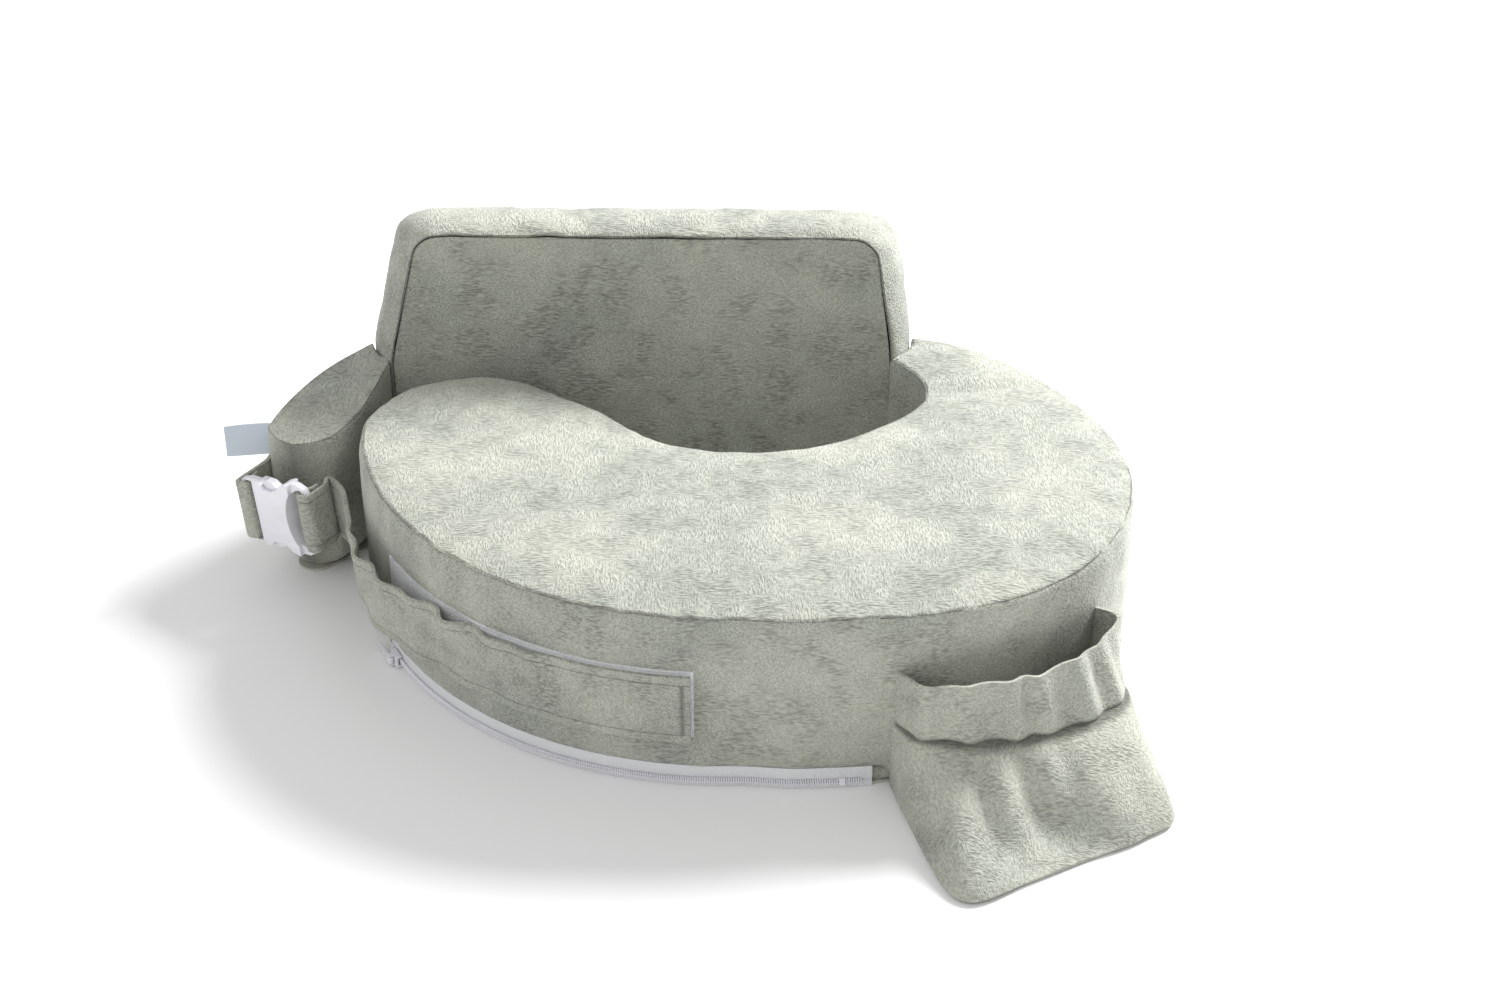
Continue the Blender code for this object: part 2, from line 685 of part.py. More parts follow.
def build_strap(parts, plush, loop, hook):
    """Loop tape on the wall, hook tape on the strap, and the strap to the ring."""
    low = STRAP_LOW
    high = STRAP_LOW + STRAP_WIDTH
    layer("loop_tape", wall_run(LOOP_START, BAND_END + 0.4), GAP, LOOP_THICKNESS,
          low + LOOP_MARGIN, high + LOOP_MARGIN, loop, parts)
    hooks = 2 * GAP + LOOP_THICKNESS
    layer("hook_tape", wall_run(BAND_LIFT, BAND_END - 0.3), hooks, HOOK_THICKNESS,
          low + GAP, high - GAP, hook, parts)
    rest = hooks + HOOK_THICKNESS + GAP + STRAP_THICKNESS / 2
    middle = low + STRAP_WIDTH / 2
    route = [in_frame(p, middle) for p in offset(wall_run(BAND_LIFT, BAND_END), -rest)]
    frame = buckle_matrix()
    out = BUCKLE_HALF_LENGTH + wrap_radius()
    turn = [(out - 0.0045, 0.0215), (out - 0.0005, 0.0130), (out, 0.0070)]
    loose = smooth([route[-1][:2], *[in_frame(p, 0)[:2] for p in FREE_STRAP],
                    *[(frame @ Vector((x, y, 0)))[:2] for x, y in turn]], 3)[1:]
    local = [frame @ Vector((x, y, 0)) for x, y in bar_wrap(1)]
    start = len(route)
    route += [Vector((p[0], p[1], middle)) for p in loose] + local
    lean = frame.to_3x3() @ Vector((0, 0, 1))
    last = start + len(loose) - 1
    ups, widths = [], []
    for i, point in enumerate(route):
        share = min(1.0, max(0.0, (i - start) / (last - start)))
        ups.append(Vector((0, 0, 1)).lerp(lean, share).normalized())
        widths.append(STRAP_WIDTH + (STRAP_NECK - STRAP_WIDTH) * share)
        if i < start + len(loose):
            route[i] = Vector((point[0], point[1], middle)).lerp(
                Vector((point[0], point[1], route[start + len(loose)][2])), share)
    ribbon("waist_strap", route, ups, widths, plush, parts)


def build_arm_strap(parts, plush):
    """The short strap from the arm's outer wall round the tongue's bar."""
    frame = buckle_matrix()
    wall = [p for p in arm_line(-GAP - STRAP_THICKNESS / 2)
            if p[0] < ARM_END_CENTRE[0] and ARM_STRAP_LEAVES <= p[1] <= ARM_STRAP_SEWN]
    wall = [in_frame(p, BUCKLE_CENTRE[2]) for p in reversed(wall)]
    free = [frame @ Vector((x, y, 0)) for x, y in bar_wrap(-1)]
    bend = (wall[-1] * 0.4 + free[0] * 0.6)
    route = wall + [bend] + free
    lean = (frame.to_3x3() @ Vector((0, 0, 1))).normalized()
    ups = [Vector((0, 0, 1))] * len(wall) + [Vector((0, 0, 1)).lerp(lean, 0.6).normalized()]
    ups += [lean] * len(free)
    ribbon("arm_strap", route, ups, [STRAP_NECK] * len(route), plush, parts)


# ---- buckle ----
def side_outline(half):
    """An outline in x and z from its upper half, mirrored below."""
    return half + [(x, -z) for x, z in reversed(half)]


def slab(outline, half_depth):
    """An outline in x and z, extruded to both sides of its plane."""
    bm = bmesh.new()
    face = bm.faces.new([bm.verts.new((x, -half_depth, z)) for x, z in outline])
    result = bmesh.ops.extrude_face_region(bm, geom=[face])
    raised = [v for v in result["geom"] if isinstance(v, bmesh.types.BMVert)]
    bmesh.ops.translate(bm, verts=raised, vec=(0, 2 * half_depth, 0))
    return bm


def build_socket(parts, cutters, plastic):
    """Hollow socket with a finger window on each side and an oval ring."""
    half = BUCKLE_WIDTH / 2
    end = BUCKLE_HALF_LENGTH
    upper = [(MOUTH_X, half - 0.003), (WINDOW_START - 0.001, half - 0.003),
             (WINDOW_START + 0.002, half - 0.0062), (0.0, half - 0.0068), (0.0045, half - 0.0052),
             (0.0085, half - 0.0018), (0.0130, half), (0.0200, half), (end - 0.0022, half - 0.0025),
             (end, half - 0.0072)]
    socket = add_object("buckle_socket", slab(side_outline(upper), SOCKET_HALF_DEPTH),
                        plastic, parts)
    tools = []
    bm = bmesh.new()
    box_at(bm, (MOUTH_X - 0.002, -CAVITY_HALF_DEPTH, -CAVITY_HALF_WIDTH),
           (WINDOW_END + 0.001, CAVITY_HALF_DEPTH, CAVITY_HALF_WIDTH))
    tools.append(make_cutter("socket_cavity", bm, cutters))
    bm = bmesh.new()
    box_at(bm, (WINDOW_START, -CAVITY_HALF_DEPTH, -half - 0.002),
           (WINDOW_END, CAVITY_HALF_DEPTH, half + 0.002))
    tools.append(make_cutter("socket_windows", bm, cutters))
    flat = end - BAR_WIDTH
    bow = arc((flat - 0.0015, 0.0), 1.0, 90.0, 270.0)
    reach = flat - 0.0015 - 0.0095
    tall = STRAP_NECK / 2 + 0.0012
    hole = [(flat, tall), (flat - 0.0015, tall)]
    hole += [(flat - 0.0015 + reach * (p[0] - flat + 0.0015), tall * p[1]) for p in bow[1:-1]]
    hole += [(flat - 0.0015, -tall), (flat, -tall)]
    tools.append(make_cutter("socket_ring", slab(hole, SOCKET_HALF_DEPTH + 0.002), cutters))
    for side in (-1, 1):
        bm = bmesh.new()
        near = side * RING_HALF_DEPTH
        far = side * (SOCKET_HALF_DEPTH + 0.003)
        box_at(bm, (RING_START, min(near, far), -half - 0.002),
               (end + 0.002, max(near, far), half + 0.002))
        tools.append(make_cutter("socket_relief_%d" % (side + 2), bm, cutters))
    for tool in tools:
        tool.matrix_world = buckle_matrix()
        cut(socket, tool)
    socket.matrix_world = buckle_matrix()


def build_tongue(parts, cutters, plastic):
    """The tongue: strap bar, shoulders and a guide rail between the prongs."""
    half = BUCKLE_WIDTH / 2
    end = -BUCKLE_HALF_LENGTH
    shoulder = MOUTH_X - RUN
    upper = [(end, half - 0.0060), (end + 0.0020, half - 0.0035), (end + 0.0080, half - 0.0025),
             (shoulder, half - 0.0030), (shoulder, 0.0035), (0.0040, 0.0035), (0.0052, 0.0020)]
    tongue = add_object("buckle_tongue", slab(side_outline(upper), PRONG_HALF_DEPTH),
                        plastic, parts)
    slot_start = end + BAR_WIDTH
    bm = bmesh.new()
    tall = STRAP_NECK / 2 + 0.0012
    box_at(bm, (slot_start, -0.01, -tall), (slot_start + 0.0055, 0.01, tall))
    slot = make_cutter("tongue_slot", bm, cutters)
    reliefs = []
    for side in (-1, 1):
        bm = bmesh.new()
        near = side * RING_HALF_DEPTH
        far = side * 0.008
        box_at(bm, (end - 0.002, min(near, far), -half),
               (slot_start + 0.001, max(near, far), half))
        reliefs.append(make_cutter("tongue_relief_%d" % (side + 2), bm, cutters))
    for tool in [slot] + reliefs:
        tool.matrix_world = buckle_matrix()
        cut(tongue, tool)
    tongue.matrix_world = buckle_matrix()


def build_prongs(parts, plastic):
    """Two spring prongs, each with its origin at the root that it bends about."""
    root_x, root_z = PRONG_ROOT
    outline = [(MOUTH_X, 0.0115), (MOUTH_X, 0.0150), (WINDOW_START + RUN, 0.0165),
               (WINDOW_START + RUN, 0.0220), (-0.0045, 0.0233), (0.0, 0.0226), (0.0036, 0.0198),
               (0.0046, 0.0165), (0.0036, 0.0148), (-0.0030, 0.0140), (-0.0080, 0.0120)]
    for name, side in (("prong_upper", 1), ("prong_lower", -1)):
        points = [(x - root_x, side * (z - root_z)) for x, z in outline]
        prong = add_object(name, slab(points, PRONG_HALF_DEPTH), plastic, parts)
        prong.matrix_world = buckle_matrix() @ Matrix.Translation((root_x, 0, side * root_z))


# ---- pocket ----
def wall_seat(bearing):
    """A point just clear of the outer wall at a bearing, and the wall's direction there."""
    line = [p for p in outer_line() if bearing_of(p) > 180]
    for ahead, behind in zip(line, line[1:]):
        high = bearing_of(ahead)
        low = bearing_of(behind)
        if low <= bearing <= high:
            break
    along = (ahead - behind).normalized()
    seat = behind.lerp(ahead, (bearing - low) / (high - low))
    return seat + right_of(along) * POCKET_WALL_GAP, along


def pocket_route(points, left, right):
    """A pocket line in plan from the left seam round the front to the right seam."""
    start = wall_seat(left)[0]
    end = wall_seat(right)[0]
    return smooth([start] + [Vector(p) for p in points] + [end], 3)


def blend_routes(a, b, share):
    """A route part of the way between two others."""
    return [p.lerp(q, share) for p, q in zip(a, b)]


def build_pocket(parts, plush, elastic):
    """Body with a floor, a folded hem round its rim, and the elastic in the hem."""
    left = POCKET_LEFT
    right = POCKET_RIGHT
    foot = pocket_route(POCKET_FOOT, left, right)
    seam = pocket_route(POCKET_SEAM, left, right)
    rim = pocket_route(POCKET_RIM, left, right)
    rows = [(0.0, foot), (0.016, blend_routes(foot, seam, 0.22)),
            (0.030, blend_routes(foot, seam, 0.55)), (POCKET_HEM_LOW - GAP, seam)]
    bm = bmesh.new()
    rings = []
    for height, route in rows:
        outer = [bm.verts.new(in_frame(p, height)) for p in route]
        inner_height = max(height, POCKET_CLOTH) if height < POCKET_HEM_LOW / 2 else height
        inner = [bm.verts.new(in_frame(p, inner_height)) for p in thick_route(route, POCKET_CLOTH)]
        rings.append((outer, inner))
    last = len(foot) - 1
    for (outer, inner), (outer_up, inner_up) in zip(rings, rings[1:]):
        for i in range(last):
            bm.faces.new([outer[i], outer[i + 1], outer_up[i + 1], outer_up[i]])
            bm.faces.new([inner[i + 1], inner[i], inner_up[i], inner_up[i + 1]])
        bm.faces.new([inner[0], outer[0], outer_up[0], inner_up[0]])
        bm.faces.new([outer[last], inner[last], inner_up[last], outer_up[last]])
    outer_top, inner_top = rings[-1]
    for i in range(last):
        bm.faces.new([outer_top[i], outer_top[i + 1], inner_top[i + 1], inner_top[i]])
    pocket_floor(bm, rings[0])
    add_object("pocket_body", bm, plush, parts)
    hem_low = POCKET_HEM_LOW + GAP
    wall = (POCKET_CLOTH * 2 + HEM_FOLD)
    hem(parts, plush, seam, rim, hem_low, wall)
    elastic_strip(parts, elastic, seam, rim, hem_low)


def thick_route(route, distance):
    """A pocket route moved towards the pillow, its ends slid along the wall."""
    inner = offset(route, -distance)
    inner[0] = end_mitre(route[0], route[1] - route[0], wall_seat(POCKET_LEFT)[1], -distance)
    inner[-1] = end_mitre(route[-1], route[-1] - route[-2], wall_seat(POCKET_RIGHT)[1], -distance)
    return inner


def pocket_floor(bm, ring):
    """Close the pocket's floor, a sheet between the front and the pillow's wall."""
    outer, inner = ring
    back = [p + p.normalized() * POCKET_WALL_GAP for p in outer_line()
            if POCKET_LEFT + 1.0 < bearing_of(p) < POCKET_RIGHT - 1.0]
    under = [bm.verts.new(in_frame(p, 0.0)) for p in back]
    over = [bm.verts.new(in_frame(p, POCKET_CLOTH)) for p in back]
    bm.faces.new(list(outer) + under)
    bm.faces.new(list(inner) + over)
    lower = [outer[-1]] + under + [outer[0]]
    upper = [inner[-1]] + over + [inner[0]]
    for a, b, c, d in zip(lower, lower[1:], upper[1:], upper):
        bm.faces.new([a, b, c, d])


def hem(parts, plush, seam, rim, low, wall):
    """Casing folded over at the rim: an outer leaf, an inner leaf and the fold."""
    leaf = POCKET_CLOTH
    rows = []
    for route, height in ((seam, low), (rim, POCKET_TOP)):
        rows.append([thick_route(route, d) for d in (0.0, leaf, wall - leaf, wall)])
    sections = []
    fold = POCKET_TOP - leaf
    share = (fold - low) / (POCKET_TOP - low)
    for i in range(len(seam)):
        foot = [row[i] for row in rows[0]]
        head = [row[i] for row in rows[1]]
        under = [a.lerp(b, share) for a, b in zip(foot, head)]
        sections.append([in_frame(foot[0], low), in_frame(head[0], POCKET_TOP),
                         in_frame(head[3], POCKET_TOP), in_frame(foot[3], low),
                         in_frame(foot[2], low), in_frame(under[2], fold),
                         in_frame(under[1], fold), in_frame(foot[1], low)])
    loft("pocket_hem", sections, plush, parts)


def elastic_strip(parts, elastic, seam, rim, low):
    """Flat elastic that runs through the casing."""
    spare = (HEM_FOLD - ELASTIC_THICKNESS) / 2
    sections = []
    near = POCKET_CLOTH + spare
    far = near + ELASTIC_THICKNESS
    foot_share = 0.12
    head_share = 0.86
    rise = POCKET_TOP - low
    a_rows = [thick_route(seam, d) for d in (near, far)]
    b_rows = [thick_route(rim, d) for d in (near, far)]
    for i in range(len(seam)):
        foot = [a[i].lerp(b[i], foot_share) for a, b in zip(a_rows, b_rows)]
        head = [a[i].lerp(b[i], head_share) for a, b in zip(a_rows, b_rows)]
        sections.append([in_frame(foot[0], low + foot_share * rise),
                         in_frame(head[0], low + head_share * rise),
                         in_frame(head[1], low + head_share * rise),
                         in_frame(foot[1], low + foot_share * rise)])
    loft("pocket_elastic", sections, elastic, parts)


# ---- tag ----
def build_tag(parts, satin):
    """A folded woven tag that stands out of the arm's outer wall."""
    line = arm_line(0.0)
    root = min(line, key=lambda p: (p - Vector(TAG_ROOT)).length)
    outward = Vector(TAG_DIRECTION).normalized()
    start = root + outward * (2 * GAP)
    end = start + outward * TAG_LENGTH
    side = right_of(outward) * (TAG_THICKNESS / 2)
    outline = [start - side, end - side, end + side, start + side]
    prism("woven_tag", outline, TAG_LOW, TAG_LOW + TAG_HEIGHT, satin, parts)


def main():
    """Build the whole pillow."""
    clear_scene()
    parts = make_collection("nursing_pillow")
    cutters = make_collection("cutters")
    plush = make_material("plush_sage", (0.50, 0.50, 0.44), 0.95)
    foam = make_material("foam_cream", (0.86, 0.82, 0.66), 0.90)
    lining = make_material("underside_plush", (0.47, 0.47, 0.41), 0.95)
    tape = make_material("zipper_tape_white", (0.88, 0.89, 0.90), 0.80)
    nylon = make_material("zipper_coil_white", (0.90, 0.91, 0.92), 0.40)
    metal = make_material("zipper_metal_white", (0.85, 0.86, 0.88), 0.35, 0.3)
    loop = make_material("loop_tape_white", (0.87, 0.87, 0.86), 0.95)
    hook = make_material("hook_tape_white", (0.87, 0.87, 0.86), 0.60)
    plastic = make_material("buckle_white", (0.90, 0.91, 0.93), 0.35)
    elastic = make_material("elastic_white", (0.90, 0.90, 0.88), 0.80)
    satin = make_material("tag_satin", (0.62, 0.68, 0.76), 0.50)
    build_platform(parts, plush, foam, lining)
    build_backrest(parts, plush, foam)
    build_arm(parts, plush, foam)
    build_zipper(parts, cutters, tape, nylon, metal)
    build_strap(parts, plush, loop, hook)
    build_arm_strap(parts, plush)
    build_socket(parts, cutters, plastic)
    build_tongue(parts, cutters, plastic)
    build_prongs(parts, plastic)
    build_pocket(parts, plush, elastic)
    build_tag(parts, satin)


main()
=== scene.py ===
"""Plush nursing pillow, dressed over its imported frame.  Units are metres and +Z is up."""

import math

import bmesh
import bpy
from bpy.props import FloatProperty, FloatVectorProperty, IntProperty, PointerProperty
from bpy.types import Operator, Panel, PropertyGroup
from mathutils import Matrix, Vector, noise


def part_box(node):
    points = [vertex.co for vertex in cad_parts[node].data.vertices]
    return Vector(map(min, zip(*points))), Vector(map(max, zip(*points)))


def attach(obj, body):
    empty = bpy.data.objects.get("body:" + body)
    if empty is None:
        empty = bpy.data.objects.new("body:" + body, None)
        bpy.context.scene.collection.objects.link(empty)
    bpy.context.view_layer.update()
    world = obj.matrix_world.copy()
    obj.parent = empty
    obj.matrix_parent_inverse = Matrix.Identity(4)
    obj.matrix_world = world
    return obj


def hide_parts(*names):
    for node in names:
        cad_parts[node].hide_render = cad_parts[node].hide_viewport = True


bl_info = {
    "name": "Nursing Pillow",
    "version": (1, 0, 0),
    "blender": (4, 5, 0),
    "location": "View3D > Sidebar > Nursing Pillow",
    "description": "Plush covers, strap, buckle, zipper and pocket of a nursing pillow",
    "category": "Add Mesh",
}

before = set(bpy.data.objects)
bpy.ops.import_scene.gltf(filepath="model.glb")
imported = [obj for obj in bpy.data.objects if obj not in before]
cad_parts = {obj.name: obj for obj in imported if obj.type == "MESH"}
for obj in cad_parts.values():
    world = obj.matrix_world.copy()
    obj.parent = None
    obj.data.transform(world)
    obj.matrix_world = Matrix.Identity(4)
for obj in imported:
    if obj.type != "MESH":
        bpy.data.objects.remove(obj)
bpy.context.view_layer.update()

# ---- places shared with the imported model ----
UP = Vector((0.0, 0.0, 1.0))
CENTRE_Y = 0.135             # centre that the outer wall curves round
WALL_RADIUS = 0.221
ARC_END = 272.0              # degrees, where the wider right side begins
RIGHT_SIDE = [(0.2315, -0.0285), (0.237, -0.0885), (0.217, -0.148), (0.174, -0.193),
              (0.118, -0.216), (0.047, -0.2235)]
PLATFORM_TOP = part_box("platform_top_panel")[1].z
BACK_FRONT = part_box("backrest_front_panel")[0].y
BACK_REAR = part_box("backrest_rear_panel")[1].y
ZIP_START = 204.0
ZIP_END = 291.0
ZIP_LINE = 0.005
STRAP_LOW = 0.034
STRAP_HIGH = 0.078
BAND_END = 265.0
BAND_LIFT = 232.0
STRAP_FREE = [(-0.178, -0.144), (-0.1985, -0.123), (-0.213, -0.100), (-0.2215, -0.0745),
              (-0.227, -0.050), (-0.232, -0.030)]
STRAP_NECK = 0.0395
BUCKLE_CENTRE = (-0.274, -0.0215, 0.056)
BUCKLE_YAW = -32.0
BUCKLE_ROLL = 7.0
BUCKLE_HALF = 0.027
POCKET_LEFT = 292.7
POCKET_RIGHT = 322.0
POCKET_TOP = 0.080
POCKET_STITCH = 0.045
POCKET_FOOT = [(0.110, -0.293), (0.1265, -0.323), (0.1605, -0.3075), (0.193, -0.290),
               (0.228, -0.2705), (0.246, -0.245)]
POCKET_SEAM = [(0.1025, -0.236), (0.1145, -0.240), (0.1395, -0.242), (0.1675, -0.2375),
               (0.2015, -0.223), (0.2245, -0.1965)]
POCKET_RIM = [(0.1015, -0.2335), (0.111, -0.2365), (0.135, -0.236), (0.162, -0.229),
              (0.1945, -0.210), (0.220, -0.1745)]


# ---- how the covers are sewn ----
COVER_RINGS = (0.0011, 0.0025, 0.005)     # bands inside the platform's top seam
BACK_RINGS = (0.0011, 0.003, 0.006)       # bands inside the backrest's front seam
ARM_RINGS = (0.0011, 0.003)               # bands inside the arm's top seam
SEAM_SINK = 0.0012                        # how far the top seam lies below the top
CROWN_SINK = 0.0006                       # how far the top lies below the frame's before it swells
WALL_EDGE_ROWS = (0.0011, 0.0036, 0.008)  # first rows of the wall, down from the seam
WALL_ROWS = 13                            # even rows between the edge rows and the foot
WALL_FOOT_ROWS = (0.0180, 0.0155)         # last rows of the wall, up from the underside
# height, then inset where the zipper runs, then outset elsewhere
PLATFORM_FOOT = [(0.0142, -0.0012, 0.0030), (0.0080, -0.0022, 0.0010),
                 (0.0035, -0.0024, -0.0016), (0.0016, -0.0030, -0.0040)]
BAND_BEARINGS = (206, 267)                # degrees that the strap and its tape lie over
BAND_HEIGHTS = (0.030, 0.082)
BACK_FLOOR = 0.002                        # underside of the backrest's cover
BACK_DROOP = 0.004                        # how far the backrest's top falls to the right
REAR_GRID = 0.012
# depth behind the front seam, then spread at the sides, then rise over the top
BOXING = [(0.001, 0.0006, 0.0004), (0.003, 0.0022, 0.0012), (0.008, 0.0055, 0.0026),
          (0.015, 0.0088, 0.0034), (0.023, 0.0112, 0.0034), (0.031, 0.0126, 0.0026),
          (0.038, 0.0128, 0.0008), (0.044, 0.0118, -0.0016), (0.049, 0.0094, -0.0055),
          (0.0525, 0.0060, -0.0095)]
BOXING_REAR = (0.0015, 0.0030, -0.0130)   # as above, with the depth counted from the rear
ARM_EDGE_SHARES = (0.010, 0.035, 0.08)    # rows of the arm's wall, as shares of its height
ARM_WALL_ROWS = 14
ARM_FOOT_SHARES = (0.90, 0.935, 0.965, 0.985)
ARM_FOOT_START = 0.72
ARM_TUCK = 0.016                          # how far the arm's foot is drawn in
ARM_SWELL = 0.0035
# ---- strap, zipper and pocket ----
STITCH = 0.765                            # stitch line, as a share of the strap's half width
STRAP_ACROSS = [-1, -0.93, -0.80, -0.765, -0.73, -0.5, -0.25, 0, 0.25, 0.5, 0.73, 0.765,
                0.80, 0.93, 1]
STRAP_SHELL = 0.0023
TOOTH = (0.0008, 0.0015, 0.0018)          # length, depth and height of a coil tooth
TOOTH_PITCH = 0.00135
TOOTH_LEAN = 14
TOOTH_EDGE = 0.00022
POCKET_SHELL = 0.0022
POCKET_COLUMNS = 150
BODY_LEVELS = [0.0016, 0.004, 0.008, 0.013, 0.018, 0.023, 0.028, 0.033, 0.038, 0.042, 0.0445]
HEM_LEVELS = [0.0455, 0.048, 0.053, 0.059, 0.065, 0.071, 0.076, 0.079, 0.0805]
# each fold's place along the pocket, its drift to the foot, its width and its strength
POCKET_FOLDS = [(0.25, 0.20, 0.050, 1.0), (0.37, 0.17, 0.050, 1.0), (0.50, 0.05, 0.045, 0.35),
                (0.12, 0.03, 0.035, 0.5), (0.80, 0.06, 0.06, 0.30)]
EDGE_ANGLE = math.radians(50)             # corners sharper than this are rounded on cloth
# ---- stage ----
KEY_PLACE = (1.35, 1.25, 1.55)
KEY_POWER = 105.0
FILL_PLACE = (-1.2, -1.5, 1.6)
FILL_POWER = 10.0
SKY_STRENGTH = 0.66
LIGHT_TARGET = (0.0, 0.1, 0.05)
CAMERA_PLACE = (0.0034, -1.1881, 0.8832)
CAMERA_TARGET = (0.0150, 0.1361, 0.05)


class PillowSizes(PropertyGroup):
    """Sizes of the soft details."""
    swell: FloatProperty(
        name="Cover Swell", description="How far the platform's cover swells out",
        default=0.0045, min=0.0, max=0.01, unit="LENGTH")
    back_swell: FloatProperty(
        name="Backrest Swell", description="How far the backrest's panels swell out",
        default=0.005, min=0.0, max=0.01, unit="LENGTH")
    panel_grid: FloatProperty(
        name="Panel Grid", description="Spacing of a panel's mesh before it is inflated",
        default=0.007, min=0.003, max=0.02, unit="LENGTH")
    seam_pucker: FloatProperty(
        name="Seam Pucker", description="How far a seam wanders in and out",
        default=0.0007, min=0.0, max=0.003, unit="LENGTH")
    strap_wave: FloatProperty(
        name="Strap Wave", description="How far the loose strap's upper edge waves",
        default=0.005, min=0.0, max=0.01, unit="LENGTH")
    hem_pucker: FloatProperty(
        name="Hem Pucker", description="Depth of the gathers in the pocket's hem",
        default=0.0042, min=0.0, max=0.006, unit="LENGTH")
    fold_depth: FloatProperty(
        name="Pocket Fold", description="Depth of the soft folds in the pocket",
        default=0.014, min=0.0, max=0.02, unit="LENGTH")
    nap_length: FloatProperty(
        name="Nap Stroke", description="Length of one brushed stroke of the plush",
        default=0.0024, min=0.001, max=0.01, unit="LENGTH")
    hem_gathers: IntProperty(
        name="Hem Gathers", description="Number of gathers in the pocket's hem",
        default=8, min=2, max=20)


class PillowColours(PropertyGroup):
    """Base colours of the finishes."""
    plush: FloatVectorProperty(
        name="Plush", description="Sage plush cover", default=(0.365, 0.378, 0.325),
        size=3, min=0.0, max=1.0, subtype="COLOR")
    foam: FloatVectorProperty(
        name="Foam", description="Foam core", default=(0.86, 0.80, 0.62),
        size=3, min=0.0, max=1.0, subtype="COLOR")
    tape: FloatVectorProperty(
        name="Tape", description="Zipper tape, hook and loop tape and elastic",
        default=(0.78, 0.79, 0.81), size=3, min=0.0, max=1.0, subtype="COLOR")
    plastic: FloatVectorProperty(
        name="Plastic", description="Buckle and zipper coil", default=(0.80, 0.80, 0.85),
        size=3, min=0.0, max=1.0, subtype="COLOR")
    satin: FloatVectorProperty(
        name="Tag", description="Woven tag", default=(0.42, 0.48, 0.60),
        size=3, min=0.0, max=1.0, subtype="COLOR")
    satin_edge: FloatVectorProperty(
        name="Tag Edge", description="Dark selvedge of the tag", default=(0.02, 0.03, 0.09),
        size=3, min=0.0, max=1.0, subtype="COLOR")
    floor: FloatVectorProperty(
        name="Floor", description="Studio floor", default=(0.90, 0.90, 0.90),
        size=3, min=0.0, max=1.0, subtype="COLOR")


def sizes():
    """The scene's sizes."""
    return bpy.context.scene.nursing_pillow_sizes


def colours():
    """The scene's colours."""
    return bpy.context.scene.nursing_pillow_colours


# ---- materials ----
class Tree:
    """Short hand for wiring one material's nodes."""

    def __init__(self, name):
        self.material = bpy.data.materials.new(name)
        self.material.use_nodes = True
        self.nodes = self.material.node_tree.nodes
        self.links = self.material.node_tree.links
        self.shader = self.nodes["Principled BSDF"]

    def add(self, kind, settings=None, **inputs):
        """A node with its settings and its inputs, which are values or sockets."""
        node = self.nodes.new("ShaderNode" + kind)
        for key, value in (settings or {}).items():
            setattr(node, key, value)
        for key, value in inputs.items():
            socket = node.inputs[int(key[1:])] if key[1:].isdigit() else node.inputs[key]
            self.feed(socket, value)
        return node

    def feed(self, socket, value):
        """Link a socket, or set its value."""
        if isinstance(value, bpy.types.NodeSocket):
            self.links.new(value, socket)
        else:
            socket.default_value = value

    def place(self, scale=(1, 1, 1), turn=(0, 0, 0)):
        """Object coordinates, turned and stretched."""
        spot = self.add("TexCoord")
        node = self.add("Mapping", i0=spot.outputs["Object"])
        node.inputs["Scale"].default_value = scale
        node.inputs["Rotation"].default_value = [math.radians(t) for t in turn]
        return node.outputs[0]

    def noise(self, where, scale, detail=2.0, rough=0.5, warp=0.0):
        """Noise from 0 to 1."""
        node = self.add("TexNoise", Vector=where, Scale=scale, Detail=detail,
                        Roughness=rough, Distortion=warp)
        return node.outputs[0]

    def math(self, operation, a, b):
        """One sum on two values or sockets."""
        return self.add("Math", {"operation": operation}, i0=a, i1=b).outputs[0]

    def span(self, value, low, high, start=0.0, end=1.0):
        """A value taken from one range to another."""
        node = self.add("MapRange", i0=value, i1=start, i2=end, i3=low, i4=high)
        return node.outputs[0]

    def tint(self, colour, amount):
        """A colour times a value."""
        node = self.add("VectorMath", {"operation": "SCALE"})
        self.feed(node.inputs[0], colour)
        self.feed(node.inputs["Scale"], amount)
        return node.outputs[0]

    def bump(self, height, distance, strength=1.0):
        """Feed the shader a bumped normal."""
        node = self.add("Bump", Height=height, Distance=distance, Strength=strength)
        self.links.new(node.outputs[0], self.shader.inputs["Normal"])

    def finish(self, colour, rough, sheen=0.0, coat=0.0, metal=0.0):
        """Set the shader's own sockets."""
        self.feed(self.shader.inputs["Base Color"], colour)
        self.feed(self.shader.inputs["Roughness"], rough)
        self.shader.inputs["Sheen Weight"].default_value = sheen
        self.shader.inputs["Sheen Roughness"].default_value = 0.4
        self.shader.inputs["Coat Weight"].default_value = coat
        self.shader.inputs["Metallic"].default_value = metal
        return self.material


def solid(colour):
    """A colour with its alpha, for a socket."""
    return (*colour, 1.0)


